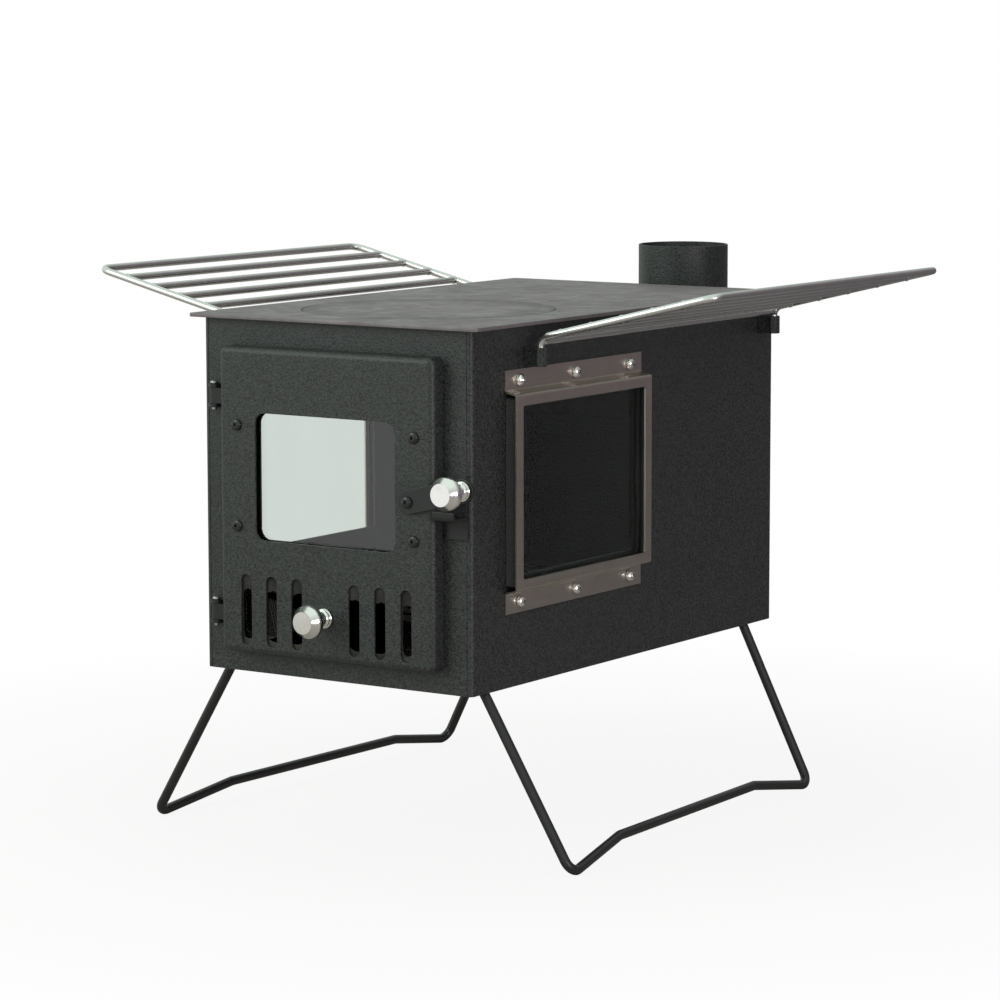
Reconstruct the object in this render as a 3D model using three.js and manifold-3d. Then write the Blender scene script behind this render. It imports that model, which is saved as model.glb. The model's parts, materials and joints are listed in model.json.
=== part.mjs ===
// Tent wood stove: a sheet steel firebox on two folding wire legs, with a framed glass door,
// a window in each side, a lift-out hot plate, a rear flue elbow and two lift-off side racks.
// Millimetres, +Z up, the origin on the floor under the middle of the stove, the door facing -Y.
import * as THREE from 'three';
import { mergeVertices } from 'three/addons/utils/BufferGeometryUtils.js';
import Module from 'manifold-3d';

const wasm = await Module();
wasm.setup();

// ---------------------------------------------------------------- driving dimensions
const gap = 0.3; // clearance between pieces that seat on, or run in, one another
const reach = 40; // how far a cutter runs past the sheet that it cuts

// firebox, measured from the lower edge of its walls; the floor is set in above that edge
const bodyWidth = 260;
const bodyDepth = 465;
const bodyHeight = 285;
const bodySheet = 2;
const wrapFold = 3;
const wrapReturn = 4.5;
const panelCorner = 1;
const skirtDrop = 14;

// top plate and hot plate
const plateThickness = 3;
const plateSideOverhang = 10;
const plateFrontOverhang = 8;
const plateRearOverhang = 1;
const plateCorner = 4;
const hotPlateRadius = 103;
const hotPlateSetback = 129.5;
const hotPlateLedge = 7;
const hotPlateRim = 1.5;
const hotPlatePlug = 3;
const hotPlatePitRadius = 2.5;
const hotPlatePitDepth = 2.5;

// door opening in the front panel
const doorLap = 14;
const openingCorner = 4;

// flue: an elbow on the back wall that turns up behind the stove
const flueRadius = 40;
const flueSheet = 1.5;
const flueInlet = 4;
const flueBendRadius = 60;
const flueOutletDrop = 85;
const flueRise = 35;
const flueRingWidth = 14;
const flueRingSheet = 2.5;

// side windows
const windowSetback = 145;
const windowDrop = 130;
const windowWidth = 181;
const windowHeight = 137;
const windowCorner = 2;
const wallOpeningInset = 2.5;
const frameSheet = 1.5;
const frameStand = 12;
const frameSideBorder = 9.5;
const frameStepBorder = 8.5;
const frameFlange = 19;
const frameFold = 2.25;
const sideGlassSheet = 5;
const sideGlassLap = 4.5;
const sideGlassRise = 3;
const gasketLap = 7.5;
const gasketRise = 5.5;
const gasketInset = 1;
const windowScrewEnd = 19;
const windowScrewOut = 10.5;

// screws: head, shank and the nut on the far side
const panHead = { radius: 5, height: 4.4, shank: 2.4, nutRadius: 4, nutHeight: 3 };
const buttonHead = { radius: 4.75, height: 2.5, shank: 2.2, nutRadius: 3.8, nutHeight: 3 };

// door tray
const doorSideRoom = 26;
const doorHeadroom = 21;
const doorSill = 18;
const doorDepth = 14.5;
const doorStandOff = 0.5;
const doorSheet = 2;
const doorCorner = 6;
const doorEdge = 5;
const doorWindowSide = 36;
const doorWindowHeight = 102;
const doorWindowRise = 143;
const doorWindowCorner = 9;
const doorGlassSheet = 4;
const doorGlassLapX = 8;
const doorGlassLapZ = 9;
const doorGasketSheet = 2;
const doorGasketInset = 2;
const doorFrameSheet = 1.5;
const doorFrameSide = 10;
const doorFrameLap = 19;
const doorScrewOut = 18;
const doorScrewRise = 40.5;

// air slots and their sliding shutter
const slotWidth = 10.5;
const slotHeight = 57;
const slotSill = 24.5;
const slotFirst = 28;
const slotSideRoom = 26;
const slotsPerSide = 3;
const shutterSheet = 1.5;
const shutterBorder = 3;
const shutterSlotSill = 29;
const shutterSlotHeight = 41;
const shutterLow = 24;
const shutterHigh = 86;
const shutterTravel = 12.5;
const airKnobHeight = 53;
const guideSheet = 1.5;
const guideWeb = 1.8;
const guideLap = 4;
const guideStrapWidth = 8;

// door hinges
const hingeOffset = 10;
const hingeStand = 7.5;
const hingePinRadius = 2;
const hingeBarrelRadius = 4;
const hingeHeight = 19;
const hingeEar = 3;
const hingeLeaf = 2.5;
const hingeLeafWidth = 18;
const hingeUpperDrop = 41;
const hingeLowerRise = 30;

// latch
const leverWidth = 19;
const leverSheet = 3;
const leverReach = 53.4;
const leverLift = THREE.MathUtils.degToRad(13.3);
const leverPivotSide = 22;
const leverPivotDrop = 9.7;
const keeperSheet = 2.5;
const keeperWidth = 20;
const keeperOffset = 4;
const keeperLip = 5.3;
const keeperRoom = 1.3;
const keeperTail = 17;

// turned knobs
const knobLength = 30;
const knobRadius = 13.5;
const knobNeckRadius = 5;
const knobBaseRadius = 8;
const knobStem = 2.5;
const knobRivet = 2;

// folding legs
const legRod = 4;
const legStrut = 163;
const legSplay = THREE.MathUtils.degToRad(28.9);
const legFrontInset = 25.5;
const legRearInset = 37;
const legFootRun = 87.5;
const legFootRise = 13.8;
const legBend = 10;
const legFootBend = 18;
const legTail = 36;
const legToe = 7.7; // how much further out the front foot stands, and further in the rear one
const lugWall = 2;
const lugLength = 22;
const lugSetIn = 11;

// side racks and the sockets that hold them
const rackRod = 3;
const rackFrontInset = 76;
const rackRearInset = 23;
const rackReach = 156.6;
const rackTilt = THREE.MathUtils.degToRad(13.57);
const rackPitch = 27.9;
const rackBars = 5;
const rackBend = 9;
const rackCorner = 11;
const socketStand = 13.8;
const socketDrop = 17.5;
const socketLength = 15;
const socketFloor = 3;
const socketWall = 2;
const socketWebWidth = 8;

// inside the firebox
const grateSideRoom = 30;
const grateEndRoom = 62.5;
const grateHeight = 26;
const grateSheet = 3;
const grateFold = 4;
const grateSlots = 10;
const grateSlotBorder = 25;
const grateSlotWidth = 10;
const baffleSideRoom = 40;
const baffleSheet = 2;
const baffleHeadroom = 13;
const baffleHang = 18;
const baffleLength = 82;
const baffleForward = 38;

// ---------------------------------------------------------------- derived places
const halfWidth = bodyWidth / 2;
const frontY = -bodyDepth / 2;
const backY = bodyDepth / 2;
const wallTop = bodyHeight - gap;
const plateTop = bodyHeight + plateThickness;
const doorWidth = bodyWidth - 2 * doorSideRoom;
const doorHeight = bodyHeight - doorHeadroom - doorSill;
const openingWidth = doorWidth - 2 * doorLap;
const openingHeight = doorHeight - 2 * doorLap;
const openingSill = doorSill + doorLap;
const doorWindowCentre = doorSill + doorWindowRise;
const doorWindowWidth = doorWidth - 2 * doorWindowSide;
const doorFrameWidth = doorWidth - 2 * doorFrameSide;
const doorFrameHeight = doorWindowHeight + 2 * doorFrameLap;
const doorScrewX = doorWindowWidth / 2 + doorScrewOut;
const slotPitch = (doorWidth / 2 - slotSideRoom - slotFirst) / (slotsPerSide - 1);
const leverPivotX = doorWidth / 2 - leverPivotSide;
const leverPivotHeight = doorWindowCentre - leverPivotDrop;
const hingeUpper = doorSill + doorHeight - hingeUpperDrop;
const hingeLower = doorSill + hingeLowerRise;
const windowHeightCentre = bodyHeight - windowDrop;
const frameLength = windowWidth + 2 * frameSideBorder;
const frameStep = windowHeight + 2 * frameStepBorder;
const frameTall = frameStep + 2 * frameFlange;
const windowScrewPitch = frameLength / 2 - windowScrewEnd;
const windowScrewRise = frameStep / 2 + windowScrewOut;
const flueOutletHeight = bodyHeight - flueOutletDrop;
const flueTopHeight = bodyHeight + flueRise;
const legSpan = bodyDepth - legFrontInset - legRearInset;
const legCentreY = (legFrontInset - legRearInset) / 2;
const rackSpan = bodyDepth - rackFrontInset - rackRearInset;
const rackCentreY = (rackFrontInset - rackRearInset) / 2;
const socketTop = bodyHeight - socketDrop;
const grateWidth = bodyWidth - 2 * grateSideRoom;
const grateLength = bodyDepth - 2 * grateEndRoom;
const grateSlotLength = grateWidth - 2 * grateSlotBorder;
const baffleWidth = bodyWidth - 2 * baffleSideRoom;
const baffleTopHeight = bodyHeight - baffleHeadroom;
const baffleFoldHeight = baffleTopHeight - baffleHang;
const baffleFootHeight = baffleFoldHeight - baffleLength;
const doorBackY = frontY - doorStandOff;
const doorFaceY = doorBackY - doorDepth;
const doorInnerY = doorFaceY + doorSheet;
const doorCentreZ = doorSill + doorHeight / 2;
const shutterY = doorInnerY + gap;
const leverBackY = doorFaceY - gap;
const leverFaceY = leverBackY - leverSheet;
const flueAxisY = backY + gap + flueInlet + flueBendRadius;
const floorTop = skirtDrop + bodySheet;
// The open leg's strut bears on the lower inside edge of the wall.
const legHingeZ = skirtDrop - gap - lugWall - gap - legRod;
const legHingeX = halfWidth - bodySheet - (legRod + gap) / Math.cos(legSplay) - legHingeZ * Math.tan(legSplay);
const rackTop = socketTop + gap;
const rackKnee = rackTop + rackBend * Math.tan((Math.PI / 2 - rackTilt) / 2);

// ---------------------------------------------------------------- materials
const finish = (color, roughness, metalness, extra = {}) =>
  new THREE.MeshStandardMaterial({ color, roughness, metalness, ...extra });
const heatPaint = () => finish(0x343635, 0.72, 0.25);
const blackSteel = () => finish(0x1d1e1f, 0.5, 0.6);
const bareSteel = () => finish(0x868280, 0.55, 0.7);
const stainless = () => finish(0x9d958d, 0.36, 1);
const polished = () => finish(0xdadada, 0.12, 1);
const bareRod = () => finish(0xc4c2be, 0.2, 1);
const ropeSeal = () => finish(0x2c2b29, 0.95, 0);
const paleGlass = () => finish(0xcfdcd6, 0.05, 0, { transparent: true, opacity: 0.35 });
const darkGlass = () => finish(0x1b222b, 0.05, 0, { transparent: true, opacity: 0.6 });
const ironGrey = () => finish(0x3c3b3a, 0.85, 0.4);

// ---------------------------------------------------------------- shaping helpers
// An arc of a drawn outline, a quarter or a full turn alike, has twice this many straight runs.
const cornerSteps = 2;
const holeSteps = 5;
const smallSteps = 1;

// A closed mesh with shared corners and no collapsed triangles.
function closed(geometry) {
  const bare = new THREE.BufferGeometry();
  bare.setAttribute('position', geometry.getAttribute('position'));
  if (geometry.index) bare.setIndex(geometry.index);
  const merged = mergeVertices(bare, 1e-4);
  const index = merged.index.array;
  const kept = [];
  for (let i = 0; i < index.length; i += 3) {
    const [a, b, c] = [index[i], index[i + 1], index[i + 2]];
    if (a !== b && b !== c && c !== a) kept.push(a, b, c);
  }
  merged.setIndex(kept);
  merged.computeVertexNormals();
  return merged;
}

function solidOf(geometry) {
  const mesh = closed(geometry);
  const vertProperties = new Float32Array(mesh.getAttribute('position').array);
  const triVerts = new Uint32Array(mesh.index.array);
  return new wasm.Manifold(new wasm.Mesh({ numProp: 3, vertProperties, triVerts }));
}

function geometryOf(solid) {
  const { vertProperties, triVerts } = solid.getMesh();
  const geometry = new THREE.BufferGeometry();
  geometry.setAttribute('position', new THREE.BufferAttribute(new Float32Array(vertProperties), 3));
  geometry.setIndex(new THREE.BufferAttribute(new Uint32Array(triVerts), 1));
  geometry.computeVertexNormals();
  return geometry;
}

function cut(geometry, ...cutters) {
  return geometryOf(cutters.reduce((solid, cutter) => solid.subtract(solidOf(cutter)), solidOf(geometry)));
}

function join(geometry, ...others) {
  return geometryOf(others.reduce((solid, other) => solid.add(solidOf(other)), solidOf(geometry)));
}

// A rectangle with round corners about (x, y); a zero corner leaves it square.
function roundedRect(width, height, corner, x = 0, y = 0) {
  const shape = new THREE.Shape();
  const [w, h] = [width / 2, height / 2];
  const centres = [[w, h, 0], [-w, h, 1], [-w, -h, 2], [w, -h, 3]];
  for (const [cx, cy, quarter] of centres) {
    const px = x + cx - Math.sign(cx) * corner;
    const py = y + cy - Math.sign(cy) * corner;
    const start = quarter * Math.PI / 2;
    if (corner > 0) shape.absarc(px, py, corner, start, start + Math.PI / 2, false);
    else if (quarter) shape.lineTo(px, py);
    else shape.moveTo(px, py);
  }
  shape.closePath();
  return shape;
}

const disc = (radius, x = 0, y = 0) => new THREE.Shape().absarc(x, y, radius, 0, Math.PI * 2, false);

const holed = (shape, ...holes) => {
  shape.holes.push(...holes);
  return shape;
};

// Sheets and blocks: an outline drawn in one plane and pushed through the third axis.
const push = (shape, depth, curveSegments = cornerSteps) =>
  new THREE.ExtrudeGeometry(shape, { depth, bevelEnabled: false, curveSegments });
const slabXY = (shape, low, high, curveSegments) =>
  push(shape, high - low, curveSegments).translate(0, 0, low);
const slabXZ = (shape, front, back, curveSegments) =>
  push(shape, back - front, curveSegments).rotateX(Math.PI / 2).translate(0, back, 0);
const axesYZX = new THREE.Matrix4().makeBasis(
  new THREE.Vector3(0, 1, 0), new THREE.Vector3(0, 0, 1), new THREE.Vector3(1, 0, 0));
const slabYZ = (shape, inner, outer, curveSegments) =>
  push(shape, outer - inner, curveSegments).applyMatrix4(axesYZX).translate(inner, 0, 0);

// A straight line through the corners with an arc at each bend; corners are [x, y, z, radius].
function bentLine(corners, stepAngle = Math.PI / 8) {
  const points = corners.map(([x, y, z]) => new THREE.Vector3(x, y, z));
  const line = [points[0]];
  for (let i = 1; i < points.length - 1; i += 1) {
    const into = points[i].clone().sub(points[i - 1]).normalize();
    const out = points[i + 1].clone().sub(points[i]).normalize();
    const turn = into.angleTo(out);
    const radius = corners[i][3];
    const tangent = radius * Math.tan(turn / 2);
    const start = points[i].clone().addScaledVector(into, -tangent);
    const inward = out.clone().sub(into).normalize();
    const centre = points[i].clone().addScaledVector(inward, radius / Math.cos(turn / 2));
    const arm = start.clone().sub(centre);
    const steps = Math.max(1, Math.ceil(turn / stepAngle - 1e-6));
    const axis = into.clone().cross(out).normalize();
    for (let k = 0; k <= steps; k += 1) {
      line.push(centre.clone().add(arm.clone().applyAxisAngle(axis, turn * k / steps)));
    }
  }
  line.push(points[points.length - 1]);
  return line;
}

// The centre line of a bent rod: one ring of the rod at each point of the bent line.
class RodLine extends THREE.Curve {
  constructor(rings) {
    super();
    this.rings = rings;
  }

  ringAt(u) {
    return Math.round(u * (this.rings.length - 1));
  }

  getPointAt(u, target = new THREE.Vector3()) {
    return target.copy(this.rings[this.ringAt(u)]);
  }

  getTangentAt(u, target = new THREE.Vector3()) {
    const here = this.ringAt(u);
    const last = this.rings.length - 1;
    target.set(0, 0, 0);
    for (const [from, to] of [[here - 1, here], [here, here + 1]]) {
      if (from < 0 || to > last) continue;
      target.add(this.rings[to].clone().sub(this.rings[from]).normalize());
    }
    return target.normalize();
  }
}

function rod(rings, shape, sideSteps) {
  const extrudePath = new RodLine(rings);
  return new THREE.ExtrudeGeometry(shape, { steps: rings.length - 1, extrudePath, curveSegments: sideSteps });
}

// The outline of a folded sheet seen end on: the bent middle line moved out to both faces.
function foldedOutline(corners, sheet, fold) {
  const line = bentLine(corners.map(([x, y], i) => [x, y, 0, corners[i][2] ?? fold]));
  const faces = [[], []];
  line.forEach((point, i) => {
    const before = point.clone().sub(line[Math.max(i - 1, 0)]).normalize();
    const after = line[Math.min(i + 1, line.length - 1)].clone().sub(point).normalize();
    const along = before.clone().add(after).normalize();
    const run = after.lengthSq() > 0 ? after : before;
    const offset = sheet / 2 / along.dot(run);
    faces[0].push(new THREE.Vector2(point.x - along.y * offset, point.y + along.x * offset));
    faces[1].unshift(new THREE.Vector2(point.x + along.y * offset, point.y - along.x * offset));
  });
  return new THREE.Shape([...faces[0], ...faces[1]]);
}

// Turned pieces: a profile of [radius, height] spun about Z.
function turned(profile, segments) {
  const points = profile.map(([r, h]) => new THREE.Vector2(r, h));
  return new THREE.LatheGeometry(points, segments).rotateX(Math.PI / 2);
}

// A round pin or cutter along one axis.
function bar(radius, axis, from, to, segments = 16) {
  const geometry = new THREE.CylinderGeometry(radius, radius, to - from, segments);
  if (axis === 'x') geometry.rotateZ(-Math.PI / 2);
  if (axis === 'z') geometry.rotateX(Math.PI / 2);
  const middle = (from + to) / 2;
  return geometry.translate(axis === 'x' ? middle : 0, axis === 'y' ? middle : 0, axis === 'z' ? middle : 0);
}

const block = (x0, x1, y0, y1, z0, z1) =>
  new THREE.BoxGeometry(x1 - x0, y1 - y0, z1 - z0).translate((x0 + x1) / 2, (y0 + y1) / 2, (z0 + z1) / 2);

// A dome-headed screw with its nut: the head stands up along +Z from the face it clamps.
function screwGeometry(kind, grip) {
  const { radius, height, shank, nutRadius, nutHeight } = kind;
  const low = -grip - 2 * gap;
  return closed(turned([
    [0, low - nutHeight], [nutRadius, low - nutHeight], [nutRadius, low], [shank, low],
    [shank, 0], [radius, 0], [radius, height * 0.35], [radius * 0.82, height * 0.75],
    [radius * 0.45, height], [0, height],
  ], 8));
}

// A turned knob: a base ring, a waist, a flared head with a flat face, and a riveted stem.
function knobGeometry(grip) {
  const end = -gap - grip - gap;
  const head = knobLength * 0.6;
  return closed(turned([
    [0, end - knobRivet], [knobStem * 1.7, end - knobRivet], [knobStem * 1.7, end], [knobStem, end],
    [knobStem, 0], [knobBaseRadius, 0], [knobBaseRadius, knobLength * 0.09],
    [knobBaseRadius * 0.82, knobLength * 0.13], [knobNeckRadius, knobLength * 0.22],
    [knobNeckRadius, knobLength * 0.36], [knobNeckRadius * 1.35, knobLength * 0.47],
    [knobRadius * 0.86, head], [knobRadius, head + knobLength * 0.06],
    [knobRadius, knobLength * 0.77], [knobRadius * 0.9, knobLength * 0.88],
    [knobRadius * 0.64, knobLength], [0, knobLength],
  ], 16));
}

// ---------------------------------------------------------------- assembly
const stove = new THREE.Group();

function add(parent, name, geometry, material) {
  const mesh = new THREE.Mesh(geometry, material);
  mesh.name = name;
  parent.add(mesh);
  return mesh;
}

// Left pieces are built as the right ones and turned half round an upright line
// through the middle of the set.
function bothSides(centreY, build) {
  for (const [side, turn] of [['right', 0], ['left', Math.PI]]) {
    const group = new THREE.Group();
    group.position.set(0, centreY, 0);
    group.rotation.z = turn;
    stove.add(group);
    build(group, side);
  }
}

const windowCentreY = frontY + windowSetback;
const windowScrews = [];
for (const rise of [windowScrewRise, -windowScrewRise]) {
  for (const along of [-windowScrewPitch, 0, windowScrewPitch]) windowScrews.push([along, rise]);
}

// ---------------------------------------------------------------- firebox
function addFirebox() {
  const side = halfWidth - bodySheet / 2;
  const [front, back] = [frontY + bodySheet / 2, backY - bodySheet / 2];
  const wrap = foldedOutline([[wrapReturn - halfWidth, front], [-side, front], [-side, back],
    [side, back], [side, front], [halfWidth - wrapReturn, front]], bodySheet, wrapFold);
  const opening = roundedRect(windowWidth - 2 * wallOpeningInset, windowHeight - 2 * wallOpeningInset,
    windowCorner, windowCentreY, windowHeightCentre);
  const screwHoles = windowScrews.map(([along, rise]) =>
    bar(panHead.shank + gap, 'x', -halfWidth - reach, halfWidth + reach, 8)
      .translate(0, windowCentreY + along, windowHeightCentre + rise));
  const outlet = bar(flueRadius - flueSheet, 'y', backY - reach, backY + reach, 28);
  add(stove, 'firebox_shell', cut(slabXY(wrap, 0, wallTop),
    slabYZ(opening, -halfWidth - reach, halfWidth + reach, smallSteps), ...screwHoles,
    outlet.translate(0, 0, flueOutletHeight)), heatPaint());

  const panelWidth = bodyWidth - 2 * (wrapReturn + gap);
  const panel = roundedRect(panelWidth, wallTop, panelCorner, 0, wallTop / 2);
  const doorway = roundedRect(openingWidth, openingHeight, openingCorner, 0, openingSill + openingHeight / 2);
  add(stove, 'front_panel', closed(slabXZ(holed(panel, doorway), frontY, frontY + bodySheet)), heatPaint());

  const inset = 2 * (bodySheet + gap);
  const floor = roundedRect(bodyWidth - inset, bodyDepth - inset, wrapFold);
  add(stove, 'floor_plate', closed(slabXY(floor, skirtDrop, floorTop)), heatPaint());
}

function addTop() {
  const width = bodyWidth + 2 * plateSideOverhang;
  const depth = bodyDepth + plateFrontOverhang + plateRearOverhang;
  const centreY = (plateRearOverhang - plateFrontOverhang) / 2;
  const lidY = frontY + hotPlateSetback;
  const sides = 44;
  const outline = roundedRect(width, depth, plateCorner, 0, centreY);
  const well = bar(hotPlateRadius - hotPlateLedge, 'z', bodyHeight - reach, plateTop + reach, sides);
  const recess = bar(hotPlateRadius, 'z', plateTop - hotPlateRim, plateTop + reach, sides);
  add(stove, 'top_plate', cut(slabXY(outline, bodyHeight, plateTop),
    well.translate(0, lidY, 0), recess.translate(0, lidY, 0)), bareSteel());

  const rimLow = plateTop - hotPlateRim + gap;
  const plugLow = bodyHeight - hotPlatePlug;
  const plugRadius = hotPlateRadius - hotPlateLedge - gap;
  const lid = closed(turned([
    [0, plugLow], [plugRadius, plugLow], [plugRadius, rimLow], [hotPlateRadius - gap, rimLow],
    [hotPlateRadius - gap, plateTop], [hotPlatePitRadius, plateTop],
    [hotPlatePitRadius, plateTop - hotPlatePitDepth], [0, plateTop - hotPlatePitDepth],
  ], sides).translate(0, lidY, 0));
  add(stove, 'hot_plate_lid', lid, bareSteel());
}

function addFlue() {
  const section = holed(disc(flueRadius), disc(flueRadius - flueSheet));
  const start = backY + gap;
  const rings = bentLine([
    [0, start, flueOutletHeight], [0, flueAxisY, flueOutletHeight, flueBendRadius], [0, flueAxisY, flueTopHeight],
  ], Math.PI / 14);
  add(stove, 'flue_elbow', closed(rod(rings, section, 14)), heatPaint());

  const ring = holed(disc(flueRadius + flueRingWidth, 0, flueOutletHeight),
    disc(flueRadius + gap, 0, flueOutletHeight));
  add(stove, 'flue_ring', closed(slabXZ(ring, start, start + flueRingSheet, 16)), heatPaint());
}

function addInside() {
  const side = (grateWidth - grateSheet) / 2;
  const foot = floorTop + gap;
  const deck = foot + grateHeight - grateSheet / 2;
  const profile = foldedOutline([[-side, foot], [-side, deck], [side, deck], [side, foot]], grateSheet, grateFold);
  const pitch = grateLength / (grateSlots + 1);
  const slots = [];
  for (let i = 1; i <= grateSlots; i += 1) {
    const slot = roundedRect(grateSlotLength, grateSlotWidth, grateSlotWidth / 2, 0, -grateLength / 2 + pitch * i);
    slots.push(slabXY(slot, deck - reach / 2, deck + reach / 2, smallSteps));
  }
  add(stove, 'fire_grate', cut(slabXZ(profile, -grateLength / 2, grateLength / 2), ...slots), ironGrey());

  const hungY = backY - bodySheet - gap - baffleSheet / 2;
  const baffle = foldedOutline([
    [hungY, baffleTopHeight], [hungY, baffleFoldHeight],
    [hungY - baffleForward, baffleFoldHeight - baffleForward / 2], [hungY - baffleForward, baffleFootHeight],
  ], baffleSheet, grateFold);
  add(stove, 'flue_baffle', closed(slabYZ(baffle, -baffleWidth / 2, baffleWidth / 2)), ironGrey());
}

// ---------------------------------------------------------------- side windows
function addSideWindows() {
  const flangeX = halfWidth + gap + frameSheet / 2;
  const faceX = halfWidth + frameStand - frameSheet / 2;
  const [edge, step] = [frameTall / 2, frameStep / 2];
  const hat = foldedOutline([[flangeX, -edge], [flangeX, -step], [faceX, -step],
    [faceX, step], [flangeX, step], [flangeX, edge]], frameSheet, frameFold);
  const sight = roundedRect(windowWidth, windowHeight, windowCorner);
  const sealInner = halfWidth + gap;
  const sealOuter = halfWidth + frameStand - frameSheet - gap;
  const sealMiddle = (sealInner + sealOuter) / 2;
  const glassSize = [windowWidth + 2 * sideGlassLap, windowHeight + 2 * sideGlassRise];
  const headX = halfWidth + gap + frameSheet + gap;

  bothSides(windowCentreY, (group, side) => {
    group.position.z = windowHeightCentre;
    const holes = windowScrews.map(([along, rise]) =>
      bar(panHead.shank + gap, 'x', halfWidth - reach, halfWidth + reach, 8).translate(0, along, rise));
    add(group, `${side}_window_frame`, cut(slabXZ(hat, -frameLength / 2, frameLength / 2),
      slabYZ(sight, halfWidth + frameStand / 2, halfWidth + reach, smallSteps), ...holes), stainless());

    const pane = roundedRect(...glassSize, windowCorner);
    add(group, `${side}_window_glass`,
      closed(slabYZ(pane, sealMiddle - sideGlassSheet / 2, sealMiddle + sideGlassSheet / 2, smallSteps)), darkGlass());

    const seal = holed(roundedRect(windowWidth + 2 * gasketLap, windowHeight + 2 * gasketRise, windowCorner),
      roundedRect(windowWidth + 2 * gasketInset, windowHeight + 2 * gasketInset, windowCorner));
    const groove = slabYZ(roundedRect(glassSize[0] + 2 * gap, glassSize[1] + 2 * gap, windowCorner),
      sealMiddle - sideGlassSheet / 2 - gap, sealMiddle + sideGlassSheet / 2 + gap, smallSteps);
    add(group, `${side}_window_gasket`, cut(slabYZ(seal, sealInner, sealOuter, smallSteps), groove), ropeSeal());

    windowScrews.forEach(([along, rise], i) => {
      const grip = headX - (halfWidth - bodySheet - gap) - 2 * gap;
      const screw = add(group, `${side}_window_screw_${i + 1}`, screwGeometry(panHead, grip), polished());
      screw.position.set(headX, along, rise);
      screw.rotation.y = Math.PI / 2;
    });
  });
}

// ---------------------------------------------------------------- door
function airSlots(width, height, sill) {
  const slots = [];
  for (const side of [-1, 1]) {
    for (let i = 0; i < slotsPerSide; i += 1) {
      slots.push(roundedRect(width, height, width / 2, side * (slotFirst + i * slotPitch), sill + height / 2));
    }
  }
  return slots;
}

// A tray block with a rounded front edge; its front face looks along -Y.
function trayBlock(inset, faceY) {
  const outline = roundedRect(doorWidth - 2 * inset, doorHeight - 2 * inset, doorCorner - inset, 0, doorCentreZ);
  const edge = doorEdge - inset;
  const depth = doorDepth + reach;
  return new THREE.ExtrudeGeometry(outline, {
    depth, bevelEnabled: true, bevelSize: edge, bevelThickness: edge, bevelOffset: -edge,
    bevelSegments: 3, curveSegments: cornerSteps,
  }).rotateX(Math.PI / 2).translate(0, faceY + depth + edge, 0);
}

function addDoor() {
  const doorway = roundedRect(doorWindowWidth, doorWindowHeight, doorWindowCorner, 0, doorWindowCentre);
  const through = (shape, steps) => slabXZ(shape, doorFaceY - reach, doorInnerY + reach / 4, steps);
  const corners = [];
  for (const rise of [doorScrewRise, -doorScrewRise]) {
    for (const side of [-1, 1]) corners.push([side * doorScrewX, doorWindowCentre + rise]);
  }
  const screwHole = ([x, z]) => disc(buttonHead.shank + gap, x, z);
  const knobSlot = roundedRect(shutterTravel + 2 * (knobStem + gap), 2 * (knobStem + gap), knobStem + gap,
    -shutterTravel / 2, airKnobHeight);
  const behind = block(-doorWidth, doorWidth, doorBackY, doorBackY + 3 * reach, doorSill - reach,
    doorSill + doorHeight + reach);
  const tray = cut(trayBlock(0, doorFaceY), trayBlock(doorSheet, doorInnerY), behind,
    through(doorway), ...airSlots(slotWidth, slotHeight, slotSill).map((slot) => through(slot, smallSteps)),
    ...corners.map((place) => through(screwHole(place), holeSteps)), through(knobSlot),
    through(screwHole([leverPivotX, leverPivotHeight]), holeSteps));
  add(stove, 'door_panel', tray, heatPaint());

  const glassSize = [doorWindowWidth + 2 * doorGlassLapX, doorWindowHeight + 2 * doorGlassLapZ];
  const gasketBack = doorInnerY + gap + doorGasketSheet;
  const glassBack = gasketBack + gap + doorGlassSheet;
  const frameBack = glassBack + gap + doorFrameSheet;
  const gasket = holed(roundedRect(...glassSize, doorWindowCorner / 2, 0, doorWindowCentre),
    roundedRect(doorWindowWidth + 2 * doorGasketInset, doorWindowHeight + 2 * doorGasketInset,
      doorWindowCorner, 0, doorWindowCentre));
  add(stove, 'door_glass_gasket', closed(slabXZ(gasket, doorInnerY + gap, gasketBack)), ropeSeal());
  add(stove, 'door_glass', closed(slabXZ(roundedRect(...glassSize, doorWindowCorner / 2, 0, doorWindowCentre),
    gasketBack + gap, glassBack)), paleGlass());
  const clamp = holed(roundedRect(doorFrameWidth, doorFrameHeight, doorCorner, 0, doorWindowCentre),
    roundedRect(doorWindowWidth, doorWindowHeight, doorWindowCorner, 0, doorWindowCentre));
  const shankHoles = corners.map(([x, z]) =>
    bar(buttonHead.shank + gap, 'y', glassBack - reach / 4, frameBack + reach / 4, 8).translate(x, 0, z));
  add(stove, 'door_glass_frame', cut(slabXZ(clamp, glassBack + gap, frameBack), ...shankHoles), blackSteel());

  corners.forEach(([x, z], i) => {
    const headY = doorFaceY - gap;
    const grip = frameBack + gap - headY - 2 * gap;
    const screw = add(stove, `door_screw_${i + 1}`, screwGeometry(buttonHead, grip), blackSteel());
    screw.position.set(x, headY, z);
    screw.rotation.x = Math.PI / 2;
  });
}

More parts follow.
